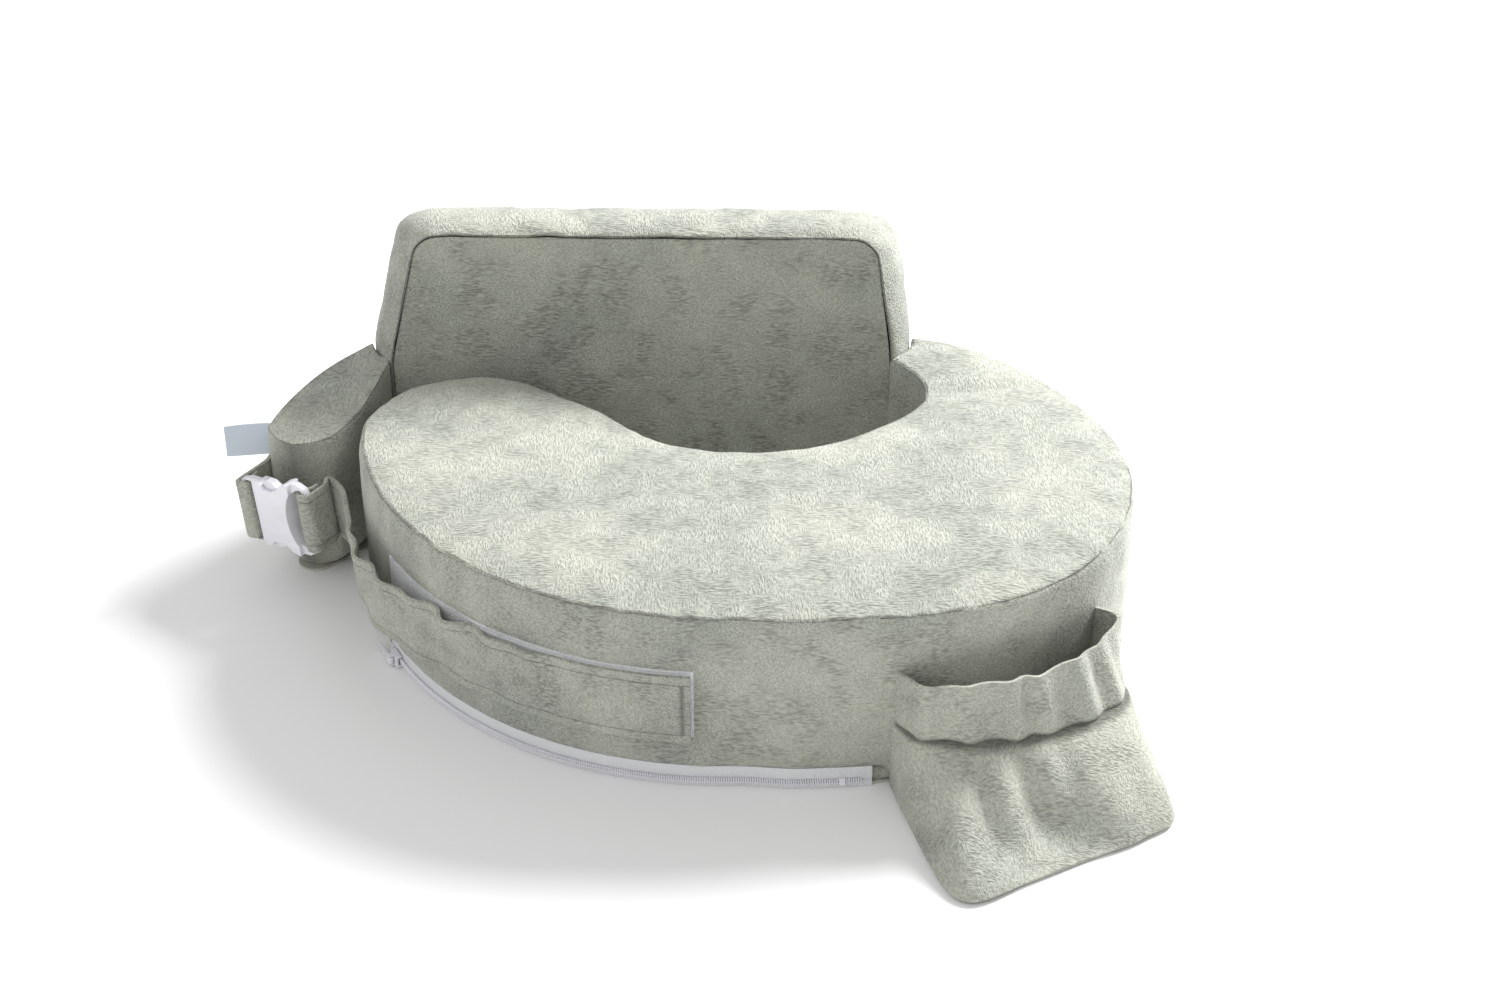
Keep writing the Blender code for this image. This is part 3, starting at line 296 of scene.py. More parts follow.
def plush_finish(name, shade=1.0, lean=(20, 35, 40)):
    """Short brushed plush: swept patches, fine strokes and painted shade along the seams."""
    tree = Tree(name)
    base = colours().plush
    stroke = 1.0 / sizes().nap_length
    spot = tree.place()
    sweep = tree.noise(spot, 11.0, 2.0, 0.6)
    mottle = tree.noise(spot, 48.0, 1.0, 0.6)
    brushed = tree.place((0.30, 1.0, 1.0), lean)
    crossed = tree.place((1.0, 0.32, 1.0), (lean[1], lean[0], -lean[2]))
    long = tree.noise(brushed, stroke * 1.9, 1.0, 0.7)
    short = tree.noise(crossed, stroke * 2.2, 1.0, 0.7)
    mix = tree.add("Mix", {"data_type": "FLOAT"}, i0=tree.span(mottle, 0.0, 1.0, 0.42, 0.58))
    tree.feed(mix.inputs[2], long)
    tree.feed(mix.inputs[3], short)
    nap = mix.outputs[0]
    light = tree.math("ADD", tree.span(sweep, -0.12, 0.12, 0.36, 0.64),
                      tree.span(mottle, -0.10, 0.10, 0.36, 0.64))
    light = tree.math("ADD", light, tree.span(nap, -0.26, 0.24, 0.34, 0.66))
    # Painted shade: a shade below 1 makes a darker, shaded copy of the same plush.
    light = tree.math("ADD", light, shade)
    # Painted shade: the seam weight darkens the plush to as little as 0.3 of its brightness in the
    # seams' valleys.
    seam = tree.add("Attribute", {"attribute_name": "seam"}).outputs["Fac"]
    light = tree.math("MULTIPLY", light, tree.span(seam, 1.0, 0.30))
    warm = tree.add("Mix", {"data_type": "RGBA"}, i0=tree.span(sweep, 0.0, 1.0, 0.35, 0.65))
    warm.inputs[6].default_value = solid([c * k for c, k in zip(base, (0.985, 0.995, 1.01))])
    warm.inputs[7].default_value = solid([c * k for c, k in zip(base, (1.015, 1.005, 0.99))])
    tree.bump(nap, 0.0014, 0.8)
    return tree.finish(tree.tint(warm.outputs[2], light), 0.92, sheen=0.25)


def woven_finish(name, colour, pitch, rough=0.8, depth=0.0002):
    """A fine plain weave in narrow tape."""
    tree = Tree(name)
    spot = tree.place((1, 1, 1), (0, 0, 45))
    waves = []
    for direction in ("X", "Z"):
        node = tree.add("TexWave", {"bands_direction": direction}, Vector=spot,
                        Scale=0.32 / pitch, Distortion=0.4)
        waves.append(node.outputs[1])
    weave = tree.math("MULTIPLY", waves[0], waves[1])
    worn = tree.noise(tree.place(), 60.0, 3.0)
    light = tree.math("ADD", tree.span(weave, 0.90, 1.03), tree.span(worn, -0.05, 0.05))
    tree.bump(weave, depth)
    return tree.finish(tree.tint(colour, light), rough, sheen=0.1)


def pile_finish(name, colour, scale, depth):
    """Loops or hooks: a dense speckle of small bumps."""
    tree = Tree(name)
    cells = tree.add("TexVoronoi", Vector=tree.place(), Scale=scale).outputs[0]
    worn = tree.noise(tree.place(), 90.0, 3.0)
    light = tree.math("ADD", tree.span(cells, 1.05, 0.80), tree.span(worn, -0.06, 0.06))
    tree.bump(cells, depth)
    return tree.finish(tree.tint(colour, light), 0.85, sheen=0.2)


def moulded_finish(name, colour, rough=0.34):
    """Satin moulded plastic with faint flow marks."""
    tree = Tree(name)
    flow = tree.noise(tree.place((1, 1, 3)), 45.0, 2.0, 0.5, 0.4)
    grain = tree.noise(tree.place(), 1400.0, 2.0)
    tree.bump(grain, 0.00004)
    light = tree.span(flow, 0.97, 1.02, 0.35, 0.65)
    gloss = tree.span(flow, rough - 0.05, rough + 0.07, 0.35, 0.65)
    return tree.finish(tree.tint(colour, light), gloss, coat=0.1)


def foam_finish(name):
    """Open-cell foam."""
    tree = Tree(name)
    cells = tree.add("TexVoronoi", Vector=tree.place(), Scale=700.0).outputs[0]
    aged = tree.noise(tree.place(), 12.0, 3.0)
    light = tree.math("ADD", tree.span(cells, 1.04, 0.80), tree.span(aged, -0.06, 0.04))
    tree.bump(cells, 0.0005)
    return tree.finish(tree.tint(colours().foam, light), 0.95)


def satin_finish(name):
    """Woven satin tag with a dark selvedge along its top."""
    tree = Tree(name)
    spot = tree.place()
    height = tree.add("SeparateXYZ", i0=spot).outputs[2]
    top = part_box("woven_tag")[1].z
    edge = tree.span(height, 0.0, 1.0, top - 0.0022, top - 0.0014)
    weave = tree.add("TexWave", {"bands_direction": "Z"}, Vector=spot, Scale=900.0,
                     Distortion=0.3).outputs[1]
    mix = tree.add("Mix", {"data_type": "RGBA"}, i0=edge)
    mix.inputs[6].default_value = solid(colours().satin)
    mix.inputs[7].default_value = solid(colours().satin_edge)
    tree.bump(weave, 0.00012)
    return tree.finish(tree.tint(mix.outputs[2], tree.span(weave, 0.9, 1.05)), 0.45, sheen=0.2)


def finish_named(name):
    """A finish that is made once and shared."""
    found = bpy.data.materials.get(name)
    if found:
        return found
    tape = colours().tape
    plastic = colours().plastic
    makers = {
        "sage_plush": lambda: plush_finish(name),
        # Painted shade: the plush of the backrest, the straps and the underside are shaded copies
        # of the sage plush, darkened to 0.96, 0.98 and 0.90.
        "sage_plush_back_shaded": lambda: plush_finish(name, 0.96, (10, 50, 20)),
        "sage_plush_strap_shaded": lambda: plush_finish(name, 0.98, (35, 20, 70)),
        "underside_plush": lambda: plush_finish(name, 0.90, (0, 0, 30)),
        "foam": lambda: foam_finish(name),
        "zipper_tape": lambda: woven_finish(name, tape, 0.0009),
        "elastic": lambda: woven_finish(name, tape, 0.0016, 0.75, 0.0004),
        "loop_pile": lambda: pile_finish(name, tape, 900.0, 0.0006),
        "hook_pile": lambda: pile_finish(name, tape, 1300.0, 0.0005),
        "nylon_coil": lambda: moulded_finish(name, plastic, 0.42),
        "white_metal": lambda: moulded_finish(name, plastic, 0.28),
        "buckle_plastic": lambda: moulded_finish(name, plastic, 0.36),
        "tag_satin": lambda: satin_finish(name),
    }
    return makers[name]()


# ---- meshes ----
def new_piece(name, bm, *finishes):
    """A smooth-shaded object in world place, with its finishes."""
    mesh = bpy.data.meshes.new(name)
    bm.to_mesh(mesh)
    bm.free()
    mesh.shade_smooth()
    piece = bpy.data.objects.new(name, mesh)
    bpy.context.scene.collection.objects.link(piece)
    for finish in finishes:
        mesh.materials.append(finish_named(finish))
    return piece


def settle(piece, body, slot, *nodes):
    """Ride a body and stand for CAD nodes; the slot is not used."""
    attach(piece, body)
    if nodes:
        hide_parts(*nodes)
    return piece


def cad_copy(node):
    """A merged bmesh copy of a CAD node."""
    bm = bmesh.new()
    bm.from_mesh(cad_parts[node].data)
    bmesh.ops.remove_doubles(bm, verts=bm.verts, dist=1e-5)
    bm.normal_update()
    return bm


def panel_outline(node, facing):
    """The flat face of a CAD panel that looks along facing, as one polygon."""
    bm = cad_copy(node)
    others = [f for f in bm.faces if f.normal.dot(facing) < 0.9]
    bmesh.ops.delete(bm, geom=others, context="FACES")
    bmesh.ops.dissolve_faces(bm, faces=bm.faces[:])
    return bm


def divide_border(bm, spacing):
    """Split the border into even short edges and round off its facets."""
    counts = {}
    for edge in (e for e in bm.edges if e.is_boundary):
        cuts = round(edge.calc_length() / spacing) - 1
        if cuts > 0:
            counts.setdefault(cuts, []).append(edge)
    for cuts, edges in counts.items():
        bmesh.ops.subdivide_edges(bm, edges=edges, cuts=cuts)
    bmesh.ops.dissolve_faces(bm, faces=bm.faces[:])
    short = [e for e in bm.edges if e.calc_length() < 0.35 * spacing]
    bmesh.ops.collapse(bm, edges=short)
    for _ in range(4):
        soft = [v for v in bm.verts if len(v.link_edges) == 2 and corner_turn(v) < 12]
        bmesh.ops.smooth_vert(bm, verts=soft, factor=0.5, use_axis_x=True, use_axis_y=True,
                              use_axis_z=True)


def corner_turn(vert):
    """Degrees that the border turns at a vertex."""
    a, b = [e.other_vert(vert).co for e in vert.link_edges]
    return 180 - math.degrees((a - vert.co).angle(b - vert.co))


def widest(bm):
    """The face of the largest area."""
    return max(bm.faces, key=lambda f: f.calc_area())


def inset_rings(bm, widths):
    """Bands of faces along the border."""
    for width in widths:
        bmesh.ops.inset_region(bm, faces=[widest(bm)], thickness=width, use_boundary=True)


def mesh_middle(bm, spacing):
    """Fill the panel's middle with even triangles."""
    middle = bm.faces.layers.int.new("middle")
    face = widest(bm)
    face[middle] = 1
    rim = set(face.verts)
    bmesh.ops.triangulate(bm, faces=[face], quad_method="BEAUTY", ngon_method="BEAUTY")
    for _ in range(8):
        long = [e for e in inner_edges(bm, middle) if e.calc_length() > 1.4 * spacing]
        if not long:
            break
        bmesh.ops.subdivide_edges(bm, edges=long, cuts=1)
        inner = [f for f in bm.faces if f[middle]]
        bmesh.ops.triangulate(bm, faces=inner, quad_method="BEAUTY", ngon_method="BEAUTY")
        for _ in range(2):
            inner = [f for f in bm.faces if f[middle]]
            bmesh.ops.beautify_fill(bm, faces=inner, edges=inner_edges(bm, middle))
            free = {v for f in bm.faces if f[middle] for v in f.verts} - rim
            bmesh.ops.smooth_vert(bm, verts=list(free), factor=0.6, use_axis_x=True,
                                  use_axis_y=True, use_axis_z=True)
    bm.faces.layers.int.remove(middle)


def inner_edges(bm, middle):
    """Edges with a marked face on both sides."""
    return [e for e in bm.edges if len(e.link_faces) == 2 and all(f[middle] for f in e.link_faces)]


def start_columns(bm, facing):
    """Number the border's vertices and find the way out of the panel at each."""
    column = bm.verts.layers.int.new("column")
    held = bm.verts.layers.int.new("held")
    seam = bm.verts.layers.float.new("seam")
    out, base = [], []
    border = [e for e in bm.edges if e.is_boundary]
    for vert in {v for e in border for v in e.verts}:
        way = Vector()
        for edge in (e for e in vert.link_edges if e.is_boundary):
            loop = edge.link_loops[0]
            along = loop.link_loop_next.vert.co - loop.vert.co
            way += along.normalized().cross(facing)
        vert[column] = len(base)
        vert[held] = 1
        # Painted shade: the sewn border gets the full seam weight, which darkens the plush along
        # the seam and keeps the ruffle off it.
        vert[seam] = 1.0
        base.append(vert.co.copy())
        out.append(way.normalized())
    return border, base, out


def extrude_row(bm, border, place, held=False, seam=0.0):
    """Extrude the border once; place gives each column's new point, and seam gives its seam
    weight, which paints shade in the plush.
    """
    made = bmesh.ops.extrude_edge_only(bm, edges=border)["geom"]
    columns = bm.verts.layers.int["column"]
    holds = bm.verts.layers.int["held"]
    seams = bm.verts.layers.float["seam"]
    fresh = {v for v in made if isinstance(v, bmesh.types.BMVert)}
    for vert in fresh:
        index = vert[columns]
        vert.co = place(index)
        vert[holds] = int(held(index) if callable(held) else held)
        vert[seams] = seam(index) if callable(seam) else seam
    return [e for e in made if isinstance(e, bmesh.types.BMEdge) and fresh.issuperset(e.verts)]


def inflate(piece, pressure, cap, slack=-0.01):
    """Blow a closed cover up from inside, between the seams that are held."""
    mesh = piece.data
    rest = [v.co.copy() for v in mesh.vertices]
    group = piece.vertex_groups.new(name="held")
    marks = mesh.attributes["held"].data
    group.add([i for i in range(len(rest)) if marks[i].value], 1.0, "REPLACE")
    cloth = piece.modifiers.new("inflate", "CLOTH")
    cloth.settings.quality = 6
    cloth.settings.mass = 0.3
    cloth.settings.tension_stiffness = 15
    cloth.settings.compression_stiffness = 15
    cloth.settings.bending_stiffness = 0.6
    cloth.settings.shrink_min = slack
    cloth.settings.use_pressure = True
    cloth.settings.uniform_pressure_force = pressure
    cloth.settings.effector_weights.gravity = 0
    cloth.settings.vertex_group_mass = "held"
    cloth.collision_settings.use_collision = False
    cloth.point_cache.frame_start = 1
    cloth.point_cache.frame_end = 20
    scene = bpy.context.scene
    for step in range(1, 21):
        scene.frame_set(step)
    blown = piece.evaluated_get(bpy.context.evaluated_depsgraph_get()).data
    moved = [v.co - r for v, r in zip(blown.vertices, rest)]
    piece.modifiers.remove(cloth)
    piece.vertex_groups.remove(group)
    scene.frame_set(1)
    for vert, point, step in zip(mesh.vertices, rest, moved):
        reach = step.length
        if reach > 1e-7:
            vert.co = point + step * (cap * (1 - math.exp(-reach / cap)) / reach)
    mesh.attributes.remove(mesh.attributes["held"])
    mesh.attributes.remove(mesh.attributes["column"])
    return piece


def refine(piece, levels=1):
    """Subdivide the finished cover."""
    modifier = piece.modifiers.new("refine", "SUBSURF")
    modifier.levels = levels
    modifier.render_levels = levels
    return piece


def ruffle(piece, reach, size, seed=0.0):
    """Small random undulation of a cover along its normals, none at its seams."""
    mesh = piece.data
    seams = mesh.attributes["seam"].data
    normals = [v.normal.copy() for v in mesh.vertices]
    for i, vert in enumerate(mesh.vertices):
        wave = noise.noise(vert.co / size + Vector((seed, 0, 0)))
        wave += 0.5 * noise.noise(vert.co * 2.3 / size + Vector((0, seed, 3)))
        vert.co += normals[i] * (wave * reach * (1 - min(1.0, seams[i].value)))
    return piece


# ---- paths ----
def arc(radius, start, end, step=1.5):
    """Plan points on the outer wall's circle, from one bearing to another."""
    count = max(2, math.ceil(abs(end - start) / step))
    bearings = [math.radians(start + (end - start) * i / count) for i in range(count + 1)]
    return [Vector((radius * math.cos(b), CENTRE_Y + radius * math.sin(b))) for b in bearings]


def curve(points, steps):
    """A Catmull-Rom curve through plan or space points."""
    knots = [Vector(p) for p in points]
    knots = [2 * knots[0] - knots[1]] + knots + [2 * knots[-1] - knots[-2]]
    found = []
    for a, b, c, d in zip(knots, knots[1:], knots[2:], knots[3:]):
        for i in range(steps):
            t = i / steps
            found.append(0.5 * (2 * b + (c - a) * t + (2 * a - 5 * b + 4 * c - d) * t * t
                                + (3 * b - a - 3 * c + d) * t ** 3))
    return found + [knots[-2]]


def at_frame(points):
    """Plan points from the wall's centre, in the pillow's frame."""
    return [Vector((x, y + CENTRE_Y)) for x, y in points]


def resample(points, spacing):
    """The same path with even steps."""
    total = sum((b - a).length for a, b in zip(points, points[1:]))
    count = max(2, round(total / spacing))
    found, walked, k = [points[0].copy()], 0.0, 0
    for i in range(1, count):
        goal = total * i / count
        while walked + (points[k + 1] - points[k]).length < goal:
            walked += (points[k + 1] - points[k]).length
            k += 1
        step = points[k + 1] - points[k]
        found.append(points[k] + step * ((goal - walked) / step.length))
    return found + [points[-1].copy()]


def tangents(path):
    """Unit direction of travel at each point."""
    last = len(path) - 1
    return [(path[min(i + 1, last)] - path[max(i - 1, 0)]).normalized()
            for i in range(last + 1)]


def wall_path(start, end, out):
    """The outer wall's plan line between two bearings, moved outward."""
    circle = arc(WALL_RADIUS, min(end, ARC_END), start, 1.0)
    wide = curve([*at_frame(RIGHT_SIDE), arc(WALL_RADIUS, ARC_END, ARC_END - 4)[0]], 12)[:-1]
    wide = [p for p in wide if ARC_END < bearing(p) < end]
    line = resample(wide + circle, 0.002)
    ways = tangents(line)
    return [p + Vector((-w.y, w.x)) * out for p, w in zip(line, ways)]


def bearing(point):
    """Degrees round the wall's centre."""
    return math.degrees(math.atan2(point.y - CENTRE_Y, point.x)) % 360


def buckle_matrix():
    """The buckle's own frame."""
    x, y, z = BUCKLE_CENTRE
    return (Matrix.Translation((x, y + CENTRE_Y, z))
            @ Matrix.Rotation(math.radians(BUCKLE_YAW), 4, "Z")
            @ Matrix.Rotation(math.radians(-BUCKLE_ROLL), 4, "Y"))


# ---- covers ----
def cover_platform():
    """Top, outer wall and waist wall of the platform as one sewn cover."""
    bm = panel_outline("platform_top_panel", UP)
    divide_border(bm, 0.005)
    border, base, out = start_columns(bm, UP)
    wander = sizes().seam_pucker
    for vert in (v for v in bm.verts if v.is_boundary):
        index = vert[bm.verts.layers.int["column"]]
        shift = noise.noise(vert.co * 90) + 0.7 * noise.noise(vert.co * 210)
        base[index] = base[index] + out[index] * (shift * wander)
        vert.co = base[index]
        vert.co.z -= SEAM_SINK
    inset_rings(bm, COVER_RINGS)
    for vert in bm.verts:
        if not vert.is_boundary:
            vert.co.z = PLATFORM_TOP - CROWN_SINK
            vert[bm.verts.layers.int["held"]] = 0
            vert[bm.verts.layers.float["seam"]] = 0.0
    mesh_middle(bm, sizes().panel_grid)
    joint = [p.x < 0.1225 and p.y > BACK_FRONT - 0.0015 and p.x > 0.09 for p in base]
    banded = [BAND_BEARINGS[0] < bearing(p) < BAND_BEARINGS[1] for p in base]
    zipped = [ZIP_START - 1 < bearing(p) < ZIP_END + 0.5 and p.y < BACK_FRONT for p in base]
    rows = [*WALL_EDGE_ROWS]
    rows += [WALL_EDGE_ROWS[-1] + (PLATFORM_TOP - 0.0235) * i / WALL_ROWS
             for i in range(1, WALL_ROWS)]
    rows += [PLATFORM_TOP - foot for foot in WALL_FOOT_ROWS]
    for drop in rows:
        height = PLATFORM_TOP - SEAM_SINK - drop
        border = extrude_row(
            bm, border, lambda i: Vector((base[i].x, base[i].y, height)) + out[i] * 0.0004,
            held=lambda i: joint[i] or (
                banded[i] and BAND_HEIGHTS[0] < height < BAND_HEIGHTS[1]))
    # Painted shade: over the zipper, the first foot row gets a seam weight of 0.8, which darkens
    # the plush in the tuck above the zipper.
    for height, tucked, loose in PLATFORM_FOOT:
        border = extrude_row(
            bm, border,
            lambda i: Vector((base[i].x, base[i].y, height))
            + out[i] * (tucked if zipped[i] or joint[i] else loose),
            held=True, seam=(lambda i: 0.8 * zipped[i]) if height > 0.014 else 0.0)
    bottom = bmesh.ops.contextual_create(bm, geom=border)["faces"]
    bmesh.ops.triangulate(bm, faces=bottom, quad_method="BEAUTY", ngon_method="BEAUTY")
    bmesh.ops.recalc_face_normals(bm, faces=bm.faces)
    cover = new_piece("platform_cover", bm, "sage_plush")
    inflate(cover, 4.0, sizes().swell)
    ruffle(cover, 0.0009, 0.035)
    refine(cover)
    return settle(cover, "pillow", "plush_sage", "platform_top_panel", "platform_outer_wall",
                  "platform_waist_wall")


def cover_backrest():
    """Front panel, rounded boxing and rear panel of the backrest."""
    facing = Vector((0, -1, 0))
    bm = panel_outline("backrest_front_panel", facing)
    for vert in bm.verts:
        if vert.co.z < 0.01:
            vert.co.z = BACK_FLOOR
    soften_right_corner(bm)
    divide_border(bm, 0.0055)
    border, base, out = start_columns(bm, facing)
    inset_rings(bm, BACK_RINGS)
    for vert in bm.verts:
        if not vert.is_boundary:
            vert.co.y = BACK_FRONT - 0.0003
            vert[bm.verts.layers.int["held"]] = 0
            vert[bm.verts.layers.float["seam"]] = 0.0
    mesh_middle(bm, sizes().panel_grid)
    depth = BACK_REAR - BACK_FRONT
    profile = [*BOXING, (depth - BOXING_REAR[0], *BOXING_REAR[1:])]
    # Painted shade: the last boxing row, at the rear seam, gets a seam weight of 0.9, which
    # darkens the plush there.
    for k, (back, reach, rise) in enumerate(profile):
        last = k == len(profile) - 1
        border = extrude_row(
            bm, border, lambda i: boxing_point(base[i], out[i], back, reach, rise),
            held=last, seam=0.9 if last else 0.0)
    made = bmesh.ops.contextual_create(bm, geom=border)["faces"]
    bmesh.ops.recalc_face_normals(bm, faces=bm.faces)
    rear = max(made, key=lambda f: f.calc_area())
    bmesh.ops.inset_region(bm, faces=[rear], thickness=0.0015, use_even_offset=True)
    bmesh.ops.inset_region(bm, faces=[rear], thickness=0.006, use_even_offset=True)
    for vert in rear.verts:
        vert[bm.verts.layers.float["seam"]] = 0.0
        vert[bm.verts.layers.int["held"]] = 0
    mesh_middle(bm, REAR_GRID)
    for vert in bm.verts:
        if vert.co.z < 0.0025:
            vert[bm.verts.layers.int["held"]] = 1
            vert[bm.verts.layers.float["seam"]] = 0.0
    cover = new_piece("backrest_cover", bm, "sage_plush_back_shaded")
    inflate(cover, 4.0, sizes().back_swell)
    ruffle(cover, 0.0012, 0.05, 5.0)
    refine(cover)
    return settle(cover, "pillow", "plush_sage", "backrest_front_panel", "backrest_boxing",
                  "backrest_rear_panel")


def soften_right_corner(bm):
    """Droop the backrest's top to the right and round its right corner."""
    low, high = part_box("backrest_front_panel")
    for vert in bm.verts:
        if vert.co.z > PLATFORM_TOP + 0.02:
            share = (vert.co.x - low.x) / (high.x - low.x)
            vert.co.z -= BACK_DROOP * share ** 2


def boxing_point(base, out, back, reach, rise):
    """A point on the boxing: it spreads at the sides and stays level over the top."""
    side = Vector((out.x, 0, 0)) * reach
    lift = out.z * rise if out.z > 0 else 0.0
    return Vector((base.x, BACK_FRONT + back, max(base.z + lift, BACK_FLOOR))) + side


def cover_arm():
    """Sloping top, two walls and rounded foot of the arm."""
    bm = panel_outline("arm_top_panel", UP)
    divide_border(bm, 0.005)
    border, base, out = start_columns(bm, UP)
    for vert in (v for v in bm.verts if v.is_boundary):
        index = vert[bm.verts.layers.int["column"]]
        base[index].z -= 0.001
        vert.co.z = base[index].z
    inset_rings(bm, ARM_RINGS)
    for vert in bm.verts:
        if not vert.is_boundary:
            vert[bm.verts.layers.int["held"]] = 0
            vert[bm.verts.layers.float["seam"]] = 0.0
    mesh_middle(bm, sizes().panel_grid)
    tip = min(range(len(base)), key=lambda i: base[i].y)
    joint = [p.y > BACK_FRONT + 0.0012 and p.x > -0.2305 for p in base]
    shares = [*ARM_EDGE_SHARES]
    shares += [ARM_EDGE_SHARES[-1] + 0.78 * i / (ARM_WALL_ROWS - 1)
               for i in range(1, ARM_WALL_ROWS)]
    shares += ARM_FOOT_SHARES
    # Painted shade: the column at the arm's tip gets a seam weight of 0.8 down the whole wall,
    # which paints a dark line at the tip.
    for share in shares:
        near = max(0.0, (share - ARM_FOOT_START) / 0.265)
        tuck = ARM_TUCK * (1 - math.sqrt(max(0.0, 1 - near ** 2)))
        border = extrude_row(
            bm, border,
            lambda i: Vector((base[i].x, base[i].y, base[i].z * (1 - share)))
            - out[i] * (tuck * (not joint[i])),
            held=lambda i: joint[i] or share > 0.98,
            seam=lambda i: 0.8 * (i == tip))
    bottom = bmesh.ops.contextual_create(bm, geom=border)["faces"]
    bmesh.ops.triangulate(bm, faces=bottom, quad_method="BEAUTY", ngon_method="BEAUTY")
    bmesh.ops.recalc_face_normals(bm, faces=bm.faces)
    cover = new_piece("arm_cover", bm, "sage_plush")
    inflate(cover, 4.0, ARM_SWELL)
    ruffle(cover, 0.0012, 0.03, 9.0)
    refine(cover)
    return settle(cover, "pillow", "plush_sage", "arm_top_panel", "arm_inner_wall",
                  "arm_outer_wall")


def shape_core(node, keep):
    """A foam core, rounded in to what the cover leaves it."""
    low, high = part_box(node)
    middle = (low + high) / 2
    middle.z = low.z
    bm = cad_copy(node)
    for vert in bm.verts:
        vert.co = middle + Vector([c * k for c, k in zip(vert.co - middle, keep)])
    core = new_piece(node + "_core", bm, "foam")
    core.data.shade_flat()
    settle(core, "pillow", "foam_cream", node)


def shape_cores():
    """The backrest's and the arm's foam."""
    shape_core("backrest_foam", (0.95, 0.78, 0.93))
    shape_core("arm_foam", (0.62, 0.70, 0.90))


def cover_underside():
    """The common underside, drawn in under the arm's rounded foot."""
    bm = cad_copy("underside_panel")
    pivot = Vector((-0.258, 0.150))
    for vert in bm.verts:
        arm = max(0.0, min(1.0, (-0.222 - vert.co.x) / 0.012))
        flat = vert.co.xy.lerp(pivot, 0.42 * arm)
        vert.co.x, vert.co.y = flat
        vert.co.z = min(vert.co.z, 0.0019)
    bm.verts.layers.float.new("seam")
    panel = new_piece("underside_cover", bm, "underside_plush")
    panel.data.shade_flat()
    return settle(panel, "pillow", "underside_plush", "underside_panel")


# ---- strap ----
def strap_route():
    """Centre, up and half width along the strap, from its free end to the buckle's bar."""
    middle = (STRAP_LOW + STRAP_HIGH) / 2
    band = [Vector((p.x, p.y, middle)) for p in wall_path(BAND_LIFT, BAND_END, 0.0044)]
    turn = buckle_matrix()
    out = BUCKLE_HALF + 0.002
    knots = [turn @ Vector(p) for p in
             ((out - 0.0045, 0.0215, 0), (out - 0.0005, 0.013, 0), (out, 0.007, 0),
              (out, 0.0022, 0), (out, -0.0022, 0), (out - 0.0006, -0.0036, 0),
              (BUCKLE_HALF, -0.0042, 0), (BUCKLE_HALF - 0.0045, -0.0042, 0),
              (BUCKLE_HALF - 0.0059, -0.0036, 0), (BUCKLE_HALF - 0.0065, -0.0022, 0),
              (BUCKLE_HALF - 0.0065, 0.0022, 0), (BUCKLE_HALF - 0.0059, 0.0036, 0),
              (BUCKLE_HALF - 0.0045, 0.0042, 0), (BUCKLE_HALF - 0.0030, 0.0064, 0),
              (BUCKLE_HALF - 0.0027, 0.0112, 0))]
    free = [Vector((p.x, p.y, middle)) for p in at_frame(STRAP_FREE)]
    lead = [band[-1]] + free + knots[:3]
    rise = knots[2].z - middle
    for k, point in enumerate(lead):
        share = k / (len(lead) - 1)
        point.z = middle + rise * share
    line = curve(lead, 10)
    wrap = curve(knots[2:], 4)
    path = resample(band + line[1:] + wrap[1:], 0.0022)
    lean = (turn.to_3x3() @ UP).normalized()
    ends = sum((b - a).length for a, b in zip(band, band[1:]))
    total = sum((b - a).length for a, b in zip(path, path[1:]))
    wrapped = sum((b - a).length for a, b in zip(wrap, wrap[1:]))
    ups, halves, walked = [], [], 0.0
    for i, point in enumerate(path):
        if i:
            walked += (point - path[i - 1]).length
        share = min(1.0, max(0.0, (walked - ends) / (total - ends - wrapped)))
        ups.append(UP.lerp(lean, share ** 2).normalized())
        half = (STRAP_HIGH - STRAP_LOW) / 2
        halves.append(half + (STRAP_NECK / 2 - half) * share ** 2)
    return path, ups, halves, ends


def strap_strip(name, path, ups, place, across, thickness):
    """A sewn band along a path; place gives each grid point, across its share of the width."""
    bm = bmesh.new()
    bmesh.ops.create_grid(bm, x_segments=len(path) - 1, y_segments=len(across) - 1, size=0.5)
    seam = bm.verts.layers.float.new("seam")
    ways = tangents(path)
    for vert in bm.verts:
        i = round((vert.co.x + 0.5) * (len(path) - 1))
        j = round((vert.co.y + 0.5) * (len(across) - 1))
        side = ways[i].cross(ups[i]).normalized()
        vert.co, vert[seam] = place(i, across[j], side)
    bmesh.ops.recalc_face_normals(bm, faces=bm.faces)
    piece = new_piece(name, bm, "sage_plush_strap_shaded")
    shell = piece.modifiers.new("thickness", "SOLIDIFY")
    shell.thickness = thickness
    shell.offset = 0.0
    shell.use_even_offset = False
    round_off = piece.modifiers.new("edges", "BEVEL")
    round_off.width = 0.0007
    round_off.segments = 2
    round_off.limit_method = "ANGLE"
    round_off.angle_limit = EDGE_ANGLE
    return piece


